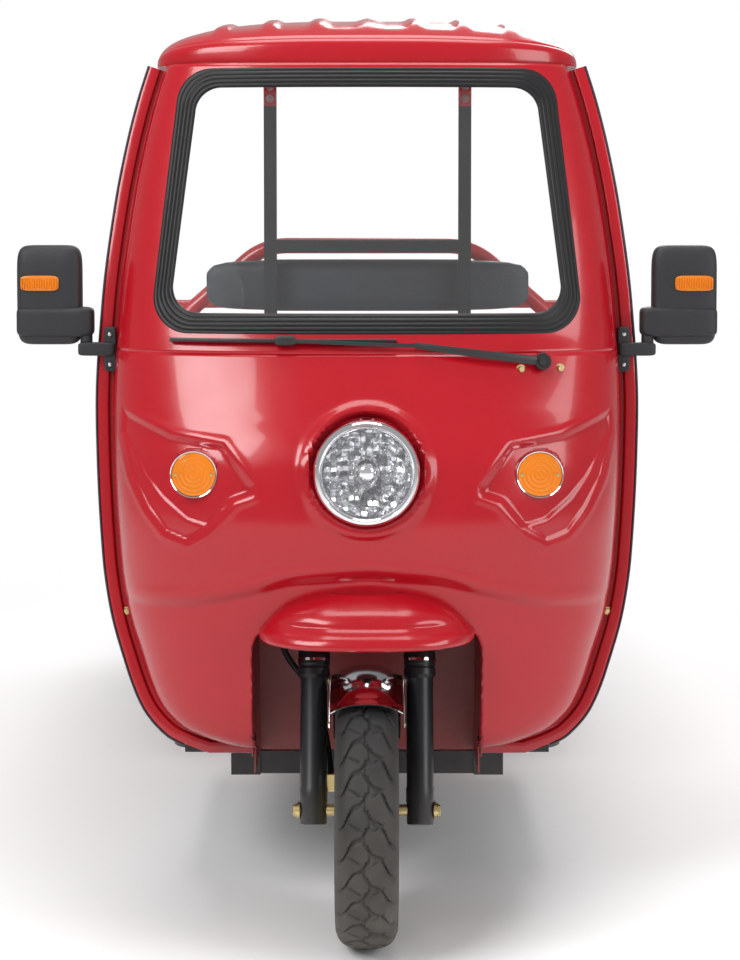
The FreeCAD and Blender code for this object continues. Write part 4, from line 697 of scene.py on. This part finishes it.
def mirrors():
    """Rounded blocks for the head, an amber lens let into it, a pivot, an arm, a foot and the glass."""
    head = [pillow((556, -1136, 1108), (682, -1080, 1302), 7, 4, upright=1, nu=80, nv=40),
            pillow((533, -1141, 1124), (682.5, -1084, 1182), 8, 5, upright=1, nu=80, nv=40),
            pillow((562, -1084, 1112), (679, -1074, 1298), 7, 9, upright=1, nu=80, nv=20)]
    arm = [lathe([(11, 0), (12, 3), (12, 52), (10, 57)], (547, -1120, 1090), (0, 0, 1), 32),
           pillow((490, -1139, 1087), (562, -1114, 1113), 8, 6, upright=0),
           pillow((487.5, -1133, 1056), (512, -1115, 1143), 8, 6, upright=0)]
    lens_block = pillow((598, -1140.5, 1213), (672, -1130, 1243), 5, 6, upright=1)
    ribs = [pillow((x, -1141.8, 1216), (x + 3, -1138, 1240), 4, 4, upright=1, nu=12, nv=8)
            for x in np.linspace(602, 668, 15)]
    glass = pillow((568, -1076, 1119), (673, -1073.2, 1291), 8, 12, upright=1)
    screws = [lathe([(0.5, -4), (3.5, -3), (4, 0)], (500.0, -1133.0, z), (0, 1, 0), 16)
              for z in (1070.0, 1129.0)]
    for side, turned in (("left", lambda patch: patch), ("right", flipped_x)):
        make("mirror_head_" + side, [turned(p) for p in head + arm], GREY_PLASTIC, "chassis",
             ["mirror_" + side], sharp=60.0)
        make("mirror_lamp_" + side, [turned(p) for p in [lens_block] + ribs], AMBER, "chassis")
        make("mirror_glass_" + side, [turned(glass)], MIRROR, "chassis")
        make("mirror_screws_" + side, [turned(p) for p in screws], STEEL, "chassis")


cab_front()
cab_brim()
screen_seal()
cowl()
roof()
wiper()
mirrors()


# ------------------------------------------------------------------ lamps
def headlight():
    """Turned rings for the bezel, a bowl of small tilted facets, a bulb cap and a domed clear lens.

    The bowl's depth is a parabola of the radius, with a slope in each small block from a sine of its number.
    """
    front = FRONT_AXLE_Y - 91.0
    centre, axis = (0, front, LAMP_Z), (0, 1, 0)
    bezel = lathe([(79, 16), (80, 4), (82, -1), (87, -5), (92, -4.5), (96, 0), (97, 6), (97, 20), (88, 22),
                   (80, 20)], centre, axis, 120, hollow=True)
    make("headlight_bezel", [bezel], CHROME, "chassis")
    turn = np.linspace(0, 2 * PI, 192, endpoint=False)[None, :]
    bowl, wide, high = 83.0, 11.0, 9.0
    radius = np.linspace(9.0, bowl, 64)[:, None]
    x, z = radius * np.cos(turn), radius * np.sin(turn)
    block_x, block_z = np.floor(x / wide), np.floor(z / high)
    tilt_x = np.sin(block_x * 12.99 + block_z * 78.23) * 0.42
    tilt_z = np.sin(block_x * 39.35 + block_z * 11.13) * 0.42
    facet = tilt_x * (x - (block_x + 0.5) * wide) + tilt_z * (z - (block_z + 0.5) * high)
    depth = 64.0 - 44.0 * (radius / bowl) ** 2 + facet * ease(radius, 22, 26)
    face = np.stack([x, front + depth, LAMP_Z + z], -1)
    shell = np.concatenate([face, (face + [0, 7.0, 0])[::-1]])
    make("headlight_reflector", [grid(shell, close_u=True, close_v=True)], REFLECTOR, "chassis",
         sharp=8.0)
    cap = lathe([(1, 14), (10, 15), (15, 19), (16.5, 24), (16.5, 34), (13, 36), (13, 62)], centre, axis, 40)
    ring = lathe([(20, 40), (22, 38), (24, 40), (24, 62), (20, 62)], centre, axis, 40, hollow=True)
    make("headlight_bulb_cap", [cap, ring], CHROME, "chassis")
    small = lathe([(1, 40), (6, 42), (8.5, 48), (8.5, 58)], (0, front, LAMP_Z - 45.0), axis, 24)
    barrel = lathe([(84, 22), (87.5, 20), (87.5, 66), (60, 96), (40, 118), (30, 118), (30, 106), (56, 90),
                    (84, 64)], centre, axis, 64, hollow=True)
    make("headlight_bowl", [barrel, small], BLACK_PLASTIC, "chassis", ["headlight"])
    span = np.linspace(1, 80, 24)
    dome = np.stack([span, 1.0 - 8.0 * (1 - (span / 80.0) ** 2)], -1)
    inner = np.stack([span[::-1], dome[::-1, 1] + 2.5], -1)
    glass = lathe(np.concatenate([dome, inner]), centre, axis, 96)
    make("headlight_lens", [glass], LAMP_GLASS, "chassis")


def signals():
    """Amber lenses with rings turned into them, in thin bright rims with two screws each."""
    rings, rims, screws = [], [], []
    centre = np.array([SIGNAL_X, FRONT_AXLE_Y - 26.0, SIGNAL_Z])
    rearward = (0, 1, 0)
    lens_radius = 40.0
    r = np.linspace(1.0, lens_radius, 60)
    face = -1.0 + 2.5 * (r / lens_radius) ** 2 - 0.8 * np.abs(np.sin(r / lens_radius * PI * 5))
    profile = list(zip(r, face)) + [(41.0, 4.0), (41.0, 40.0), (30.0, 44.0)]
    rim = [(41, 3), (41.4, 0), (43, -1), (44, 2), (44, 58), (41.2, 58)]
    screw = [(0.5, -1.5), (3, -1), (3.4, 1), (3.4, 3)]
    for s in (1, -1):
        place = centre * [s, 1, 1]
        rings.append(lathe(profile, place, rearward, 72))
        rims.append(lathe(rim, place, rearward, 72, hollow=True))
        for side in (-1, 1):
            screws.append(lathe(screw, place + [side * 33.0, 0, 0], rearward, 16))
    make("front_signal_lenses", rings, AMBER, "chassis", ["front_indicators"])
    make("front_signal_rims", rims, CHROME, "chassis")
    make("front_signal_screws", screws, ZINC, "chassis")


headlight()
signals()


# ------------------------------------------------------------------ wheels
TYRE_LINE = [(-38, 152), (-40, 158), (-44.5, 168), (-52, 182), (-57, 200), (-57.6, 212), (-54, 226),
             (-47, 237), (-34, 245.5), (-18, 249), (0, 250), (18, 249), (34, 245.5), (47, 237), (54, 226),
             (57.6, 212), (57, 200), (52, 182), (44.5, 168), (40, 158), (38, 152)]


def tyre(name, x0, y0, node, body):
    """A cross-section turned about the axle; grooves slant both ways from the middle, by the angle."""
    line = np.array(TYRE_LINE, float)
    length = np.concatenate([[0], np.cumsum(np.linalg.norm(np.diff(line, axis=0), axis=1))])
    even = np.linspace(0, length[-1], 96)
    a = smooth(list(zip(length, line[:, 0])), even)[None, :]
    r = smooth(list(zip(length, line[:, 1])), even)[None, :]
    turn = np.linspace(0, 2 * PI, 720, endpoint=False)[:, None]
    pitches = 26
    side = np.abs(a)
    share = side / 52.0
    wave = 0.10 * np.sin(share * 3 * PI)
    first = (turn * pitches / (2 * PI) + 1.15 * share + wave + np.where(a > 0, 0.5, 0.0)) % 1.0
    second = (turn * pitches / (2 * PI) - 0.55 * share + 0.2) % 1.0
    tread = (1 - ease(side, 47.0, 54.0)) * ease(r, 218.0, 236.0)
    slant = ease(first, 0.0, 0.05) * (1 - ease(first, 0.13, 0.18))
    cross = ease(second, 0.0, 0.04) * (1 - ease(second, 0.09, 0.13))
    cross = cross * ease(side, 9, 12) * (1 - ease(side, 30, 33))
    middle = 1 - ease(np.abs(a - 6.0 * np.sin(turn * pitches)), 1.6, 3.2)
    depth = tread * np.maximum(np.maximum(5.0 * slant, 3.2 * cross), 4.0 * middle)
    rib = 0.9 * np.exp(-((r - 186.0) / 2.0) ** 2) + 0.7 * np.exp(-((r - 218.0) / 1.6) ** 2)
    out = r - depth
    across = x0 + a + np.sign(a) * rib
    points = np.stack([across + 0 * turn, y0 + out * np.sin(turn), AXLE_Z + out * np.cos(turn)], -1)
    make(name, [grid(points, close_u=True, close_v=True)], TYRE, body, [node], sharp=40.0)


def wheel_nuts(name, side, body):
    """Five nuts on the outer face of a rear wheel's disc."""
    face, circle = 16.0, 55.0
    patches = []
    for k in range(5):
        turn = 2 * PI * k / 5
        place = (side * (REAR_WHEEL_X + face), REAR_AXLE_Y + circle * math.sin(turn),
                 AXLE_Z + circle * math.cos(turn))
        patches += hex_bolt(place, (side, 0, 0), 17.0, 12.0)
    make(name, patches, STEEL, body)


SIDES = {"left": 1, "right": -1}
tyre("front_tyre_tread", 0.0, FRONT_AXLE_Y, "front_tyre", "front_wheel")
for word, way in SIDES.items():
    tyre("rear_tyre_tread_" + word, way * REAR_WHEEL_X, REAR_AXLE_Y, "rear_tyre_" + word,
         "rear_wheel_" + word)
for word, way in SIDES.items():
    wheel_nuts("rear_wheel_nuts_" + word, way, "rear_wheel_" + word)


# ------------------------------------------------------------------ fork and steering
RAKE = math.radians(17.0)
ALONG = np.array([0.0, math.sin(RAKE), math.cos(RAKE)])


def leg_point(distance, x):
    """A point up a fork leg's own line from the axle."""
    return np.array([x, FRONT_AXLE_Y, AXLE_Z]) + ALONG * distance


def fork_trim():
    """Turned covers, bright stanchions with clamp bands, and axle nuts, all about the legs' own lines."""
    profile = [(17, -27), (24, -26), (25.4, -22), (25.4, 12), (26.5, 16), (26.5, 40), (25.4, 44), (25.2, 244),
               (27, 247), (30.3, 250), (30.3, 262), (28.4, 265), (28.4, 268), (30.3, 271), (30.3, 292),
               (27, 299), (20, 301), (18.7, 300)]
    band = [(29, 276), (31.2, 276.6), (31.2, 281.4), (29, 282)]
    covers, bright, nuts = [], [], []
    for side in (-1, 1):
        low = leg_point(0.0, side * 100.0)
        covers.append(lathe(profile, low, ALONG, 48))
        bright.append(lathe([(18.6, 299), (18.6, 400)], low, ALONG, 40))
        bright.append(lathe(band, low, ALONG, 48, hollow=True))
        nuts += hex_bolt((side * 127.0, FRONT_AXLE_Y, AXLE_Z), (side, 0, 0), 19.0, 11.0)
    make("fork_leg_covers", covers, BLACK, "steering", ["fork_legs"], sharp=30.0)
    make("fork_stanchions", bright, CHROME, "steering")
    make("front_axle_nuts", nuts, ZINC, "steering")


def fender():
    """A crowned strip: its radius falls towards each side edge by a power of the share of half the width.

    A half-round bead runs round its rim, and flat stays come down to the legs.
    """
    half, crown, fall, wall = 66.0, 271.0, 22.0, 2.6
    turn = np.radians(np.linspace(-31.5, 71.5, 90))[:, None]
    across = np.linspace(-1, 1, 49)[None, :]
    bead = 1.6 * np.exp(-((1 - np.abs(across)) / 0.05) ** 2)
    ends = np.minimum(turn - turn[0], turn[-1] - turn)
    bead = np.maximum(bead, 1.6 * np.exp(-(ends / 0.018) ** 2))
    radius = crown - fall * np.abs(across) ** 2.4 + np.minimum(bead, 1.2)
    x = half * across + 0 * turn
    faces = [np.stack([x, FRONT_AXLE_Y + r * np.sin(turn), AXLE_Z + r * np.cos(turn)], -1)
             for r in (radius, radius - wall)]
    guard = capped(np.concatenate([faces[0], faces[1][:, ::-1]], axis=1))
    run = np.linspace(0, 1, 12)[:, None]
    around = np.linspace(0, 2 * PI, 16, endpoint=False)
    ring = np.stack([1.6 * signed_power(np.cos(around), 0.5), 9.0 * signed_power(np.sin(around), 0.5),
                     0 * around], -1)
    stays, bolts = [], []
    for side in (-1, 1):
        low, high = np.array([side * 70.3, -1301, 396]), np.array([side * 70.3, -1262, 483])
        path = low * (1 - run) + high * run
        stays.append(capped(path[:, None] + ring[None]))
        for z, y in ((402.0, -1299.0), (478.0, -1264.0)):
            bolts += hex_bolt((side * 72.0, y, z), (side, 0, 0), 9.0, 5.0)
    make("front_fender_chrome", [guard] + stays, CHROME, "steering", ["front_fender"], sharp=40.0)
    make("front_fender_bolts", bolts, ZINC, "steering")


BAR = np.array([0.0, FRONT_AXLE_Y + 42.0, AXLE_Z]) + ALONG * 817.0
GRIP_IN, GRIP_OUT = BAR + [-165.0, 62.0, 48.0], BAR + [-335.0, 150.0, 42.0]
BAR_RUN = (GRIP_OUT - GRIP_IN) / np.linalg.norm(GRIP_OUT - GRIP_IN)
LEVER_END = tuple(GRIP_IN + BAR_RUN * 29.0)


def front_cable():
    """The front brake's cable, on one smooth line from the brake arm up to the lever."""
    points = [(-68, -1300, 300), (-77, -1232, 425), (-187, -1215, 548), (-132, -1192, 680), (-72, -1160, 790),
              (-72, -1112, 930), LEVER_END]
    curve = bpy.data.curves.new("front_brake_cable", "CURVE")
    curve.dimensions = "3D"
    line = curve.splines.new("NURBS")
    line.points.add(len(points) - 1)
    for point, place in zip(line.points, points):
        point.co = (place[0] * MM, place[1] * MM, place[2] * MM, 1)
    line.order_u = 3
    line.use_endpoint_u = True
    line.resolution_u = 24
    curve.bevel_depth = 6.0 * MM
    curve.bevel_resolution = 6
    curve.use_fill_caps = True
    curve.materials.append(RUBBER)
    obj = placed("front_brake_cable", curve)
    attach(obj, "steering")
    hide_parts("brake_cable")


def grips():
    """Ribbed rubber sleeves with flanges, an instrument pod and switch blocks on the bar."""
    rubber, plastic = [], []
    span = np.linspace(0, 118, 90)
    ridges = 16.9 + 1.2 * np.abs(np.sin(span * PI / 7.0)) + 3.5 * np.exp(-((span - 114) / 3.0) ** 2)
    profile = np.stack([ridges, span], -1)
    for side in (1, -1):
        out, run = GRIP_OUT * [side, 1, 1], -BAR_RUN * [side, 1, 1]
        rubber.append(lathe(np.concatenate([[(12, 0)], profile, [(12, 118)]]), out, run, 32))
        block = GRIP_IN * [side, 1, 1] + BAR_RUN * [side, 1, 1] * 18.0
        plastic.append(pillow(block - [22, 20, 20], block + [22, 20, 22], 5, 4))
    plastic.append(pillow(BAR + [-62, -28, 8], BAR + [62, 42, 38], 5, 3))
    make("bar_grips", rubber, RUBBER, "steering", sharp=60.0)
    make("bar_switches_and_pod", plastic, BLACK_PLASTIC, "steering")


fork_trim()
fender()
front_cable()
grips()


# ------------------------------------------------------------------ padding
CLOTH_STEP = 9.0
CLOTH_FRAMES = 20


def stuffed(name, low, high, node, cap, plan, height, upright=2):
    """A crowned cushion: a rounded block, blown up a little as cloth, its swelling capped, then smoothed."""
    block = pillow(low, high, plan, height, upright, 96, 40)
    obj = make(name, [block], VINYL, "chassis", [node], sharp=180.0)
    even = obj.modifiers.new("even", "REMESH")
    even.mode = "VOXEL"
    even.voxel_size = CLOTH_STEP * MM
    depsgraph = bpy.context.evaluated_depsgraph_get()
    mesh = bpy.data.meshes.new_from_object(obj.evaluated_get(depsgraph))
    obj.modifiers.clear()
    obj.data = mesh
    start = np.empty(len(mesh.vertices) * 3)
    mesh.vertices.foreach_get("co", start)
    cloth = obj.modifiers.new("cloth", "CLOTH")
    cloth.settings.use_pressure = True
    cloth.settings.uniform_pressure_force = 4.0
    cloth.settings.effector_weights.gravity = 0.0
    cloth.point_cache.frame_start, cloth.point_cache.frame_end = 1, CLOTH_FRAMES
    for step in range(1, CLOTH_FRAMES + 1):
        bpy.context.scene.frame_set(step)
    depsgraph = bpy.context.evaluated_depsgraph_get()
    blown = bpy.data.meshes.new_from_object(obj.evaluated_get(depsgraph))
    end = np.empty(len(blown.vertices) * 3)
    blown.vertices.foreach_get("co", end)
    bpy.data.meshes.remove(blown)
    obj.modifiers.clear()
    bpy.context.scene.frame_set(1)
    move = (end - start).reshape(-1, 3)
    size = np.linalg.norm(move, axis=1)[:, None]
    move *= np.minimum(1.0, cap * MM / np.maximum(size, 1e-9))
    mesh.vertices.foreach_set("co", (start.reshape(-1, 3) + move).ravel())
    mesh.update()
    mesh.shade_smooth()
    if not mesh.materials:
        mesh.materials.append(VINYL)
    soft = obj.modifiers.new("smooth", "SUBSURF")
    soft.levels = soft.render_levels = 1


stuffed("driver_seat_pad", (-418, -492, 706), (418, -168, 772), "seat_cushion", 8.0, 7.0, 3.2)
stuffed("driver_back_pad", (-399, -79, 1124), (399, -41, 1261), "backrest", 5.0, 5.0, 3.0, 1)


# ------------------------------------------------------------------ camera, light, floor
def seen_directly(tree):
    """1 for rays from the camera, straight or through glass, and 0 for all others."""
    path = tree.nodes.new("ShaderNodeLightPath")
    return maths(tree, "MAXIMUM", path.outputs["Is Camera Ray"], path.outputs["Is Transmission Ray"])


def floor():
    """A wide pale floor that to the camera turns plain white with distance, and keeps the shadow nearby."""
    reach = 60000.0
    side = np.linspace(-reach, reach, 61)
    co, faces = grid(np.stack(np.broadcast_arrays(side[:, None], side[None, :], 0 * side[None, :]), -1))
    mesh = bpy.data.meshes.new("studio_floor")
    mesh.from_pydata((co * MM).tolist(), [], faces)
    mesh.shade_smooth()
    obj = placed("studio_floor", mesh)
    material, tree, principled = shader("floor_paper")
    principled.inputs["Base Color"].default_value = (0.86, 0.86, 0.86, 1)
    principled.inputs["Roughness"].default_value = 0.9
    place = tree.nodes.new("ShaderNodeTexCoord")
    distance = tree.nodes.new("ShaderNodeVectorMath")
    distance.operation = "LENGTH"
    tree.links.new(place.outputs["Object"], distance.inputs[0])
    far = add(tree, "ShaderNodeMapRange", From_Min=1.7, From_Max=3.4)
    far.interpolation_type = "SMOOTHSTEP"
    tree.links.new(distance.outputs["Value"], far.inputs["Value"])
    white = tree.nodes.new("ShaderNodeEmission")
    white.inputs["Color"].default_value = (1, 1, 1, 1)
    blend = tree.nodes.new("ShaderNodeMixShader")
    tree.links.new(maths(tree, "MULTIPLY", far.outputs["Result"], seen_directly(tree)), blend.inputs["Fac"])
    tree.links.new(principled.outputs["BSDF"], blend.inputs[1])
    tree.links.new(white.outputs["Emission"], blend.inputs[2])
    end = next(n for n in tree.nodes if n.type == "OUTPUT_MATERIAL")
    tree.links.new(blend.outputs["Shader"], end.inputs["Surface"])
    obj.data.materials.append(material)


def sky():
    """A soft even sky, which the camera sees as plain white."""
    world = bpy.data.worlds.new("soft_sky")
    bpy.context.scene.world = world
    world.use_nodes = True
    tree = world.node_tree
    background = tree.nodes["Background"]
    background.inputs["Color"].default_value = (1, 1, 1, 1)
    strength = add(tree, "ShaderNodeMapRange", To_Min=0.42, To_Max=1.0)
    tree.links.new(seen_directly(tree), strength.inputs["Value"])
    tree.links.new(strength.outputs["Result"], background.inputs["Strength"])


def point(obj, place, direction):
    """Stand a lamp or a camera at a place, turned along a direction."""
    turn = direction.to_track_quat("-Z", "Y").to_matrix().to_4x4()
    obj.matrix_world = Matrix.Translation(place) @ turn


def lamps():
    """Four broad soft lamps: name, place, width, power and the point that each looks at."""
    for name, place, width, power, aim in (
        ("key", (-3.2, -4.6, 4.2), 2.6, 230.0, (0, -0.8, 0.9)),
        ("fill", (4.2, -4.2, 2.6), 2.6, 120.0, (0, -0.5, 0.8)),
        ("top", (0.0, -1.0, 5.5), 3.0, 150.0, (0, -0.3, 0.5)),
        ("back", (1.5, 4.5, 4.5), 3.0, 160.0, (0, 0.5, 0.8)),
    ):
        data = bpy.data.lights.new(name, "AREA")
        data.energy, data.size = power, width
        point(placed(name, data), place, Vector(aim) - Vector(place))


def camera():
    """Level with the driver's eyes, a few metres ahead, tipped down a little."""
    data = bpy.data.cameras.new("front_camera")
    data.sensor_width = 36.0
    data.lens = 81.45
    data.shift_y = -0.14
    data.clip_end = 60.0
    obj = placed("front_camera", data)
    down = math.radians(3.3)
    point(obj, (0.006, -5.35, 1.35), Vector((0, math.cos(down), -math.sin(down))))
    bpy.context.scene.camera = obj


floor()
sky()
lamps()
camera()
bpy.context.scene.view_settings.view_transform = "Standard"

bpy.context.view_layer.update()
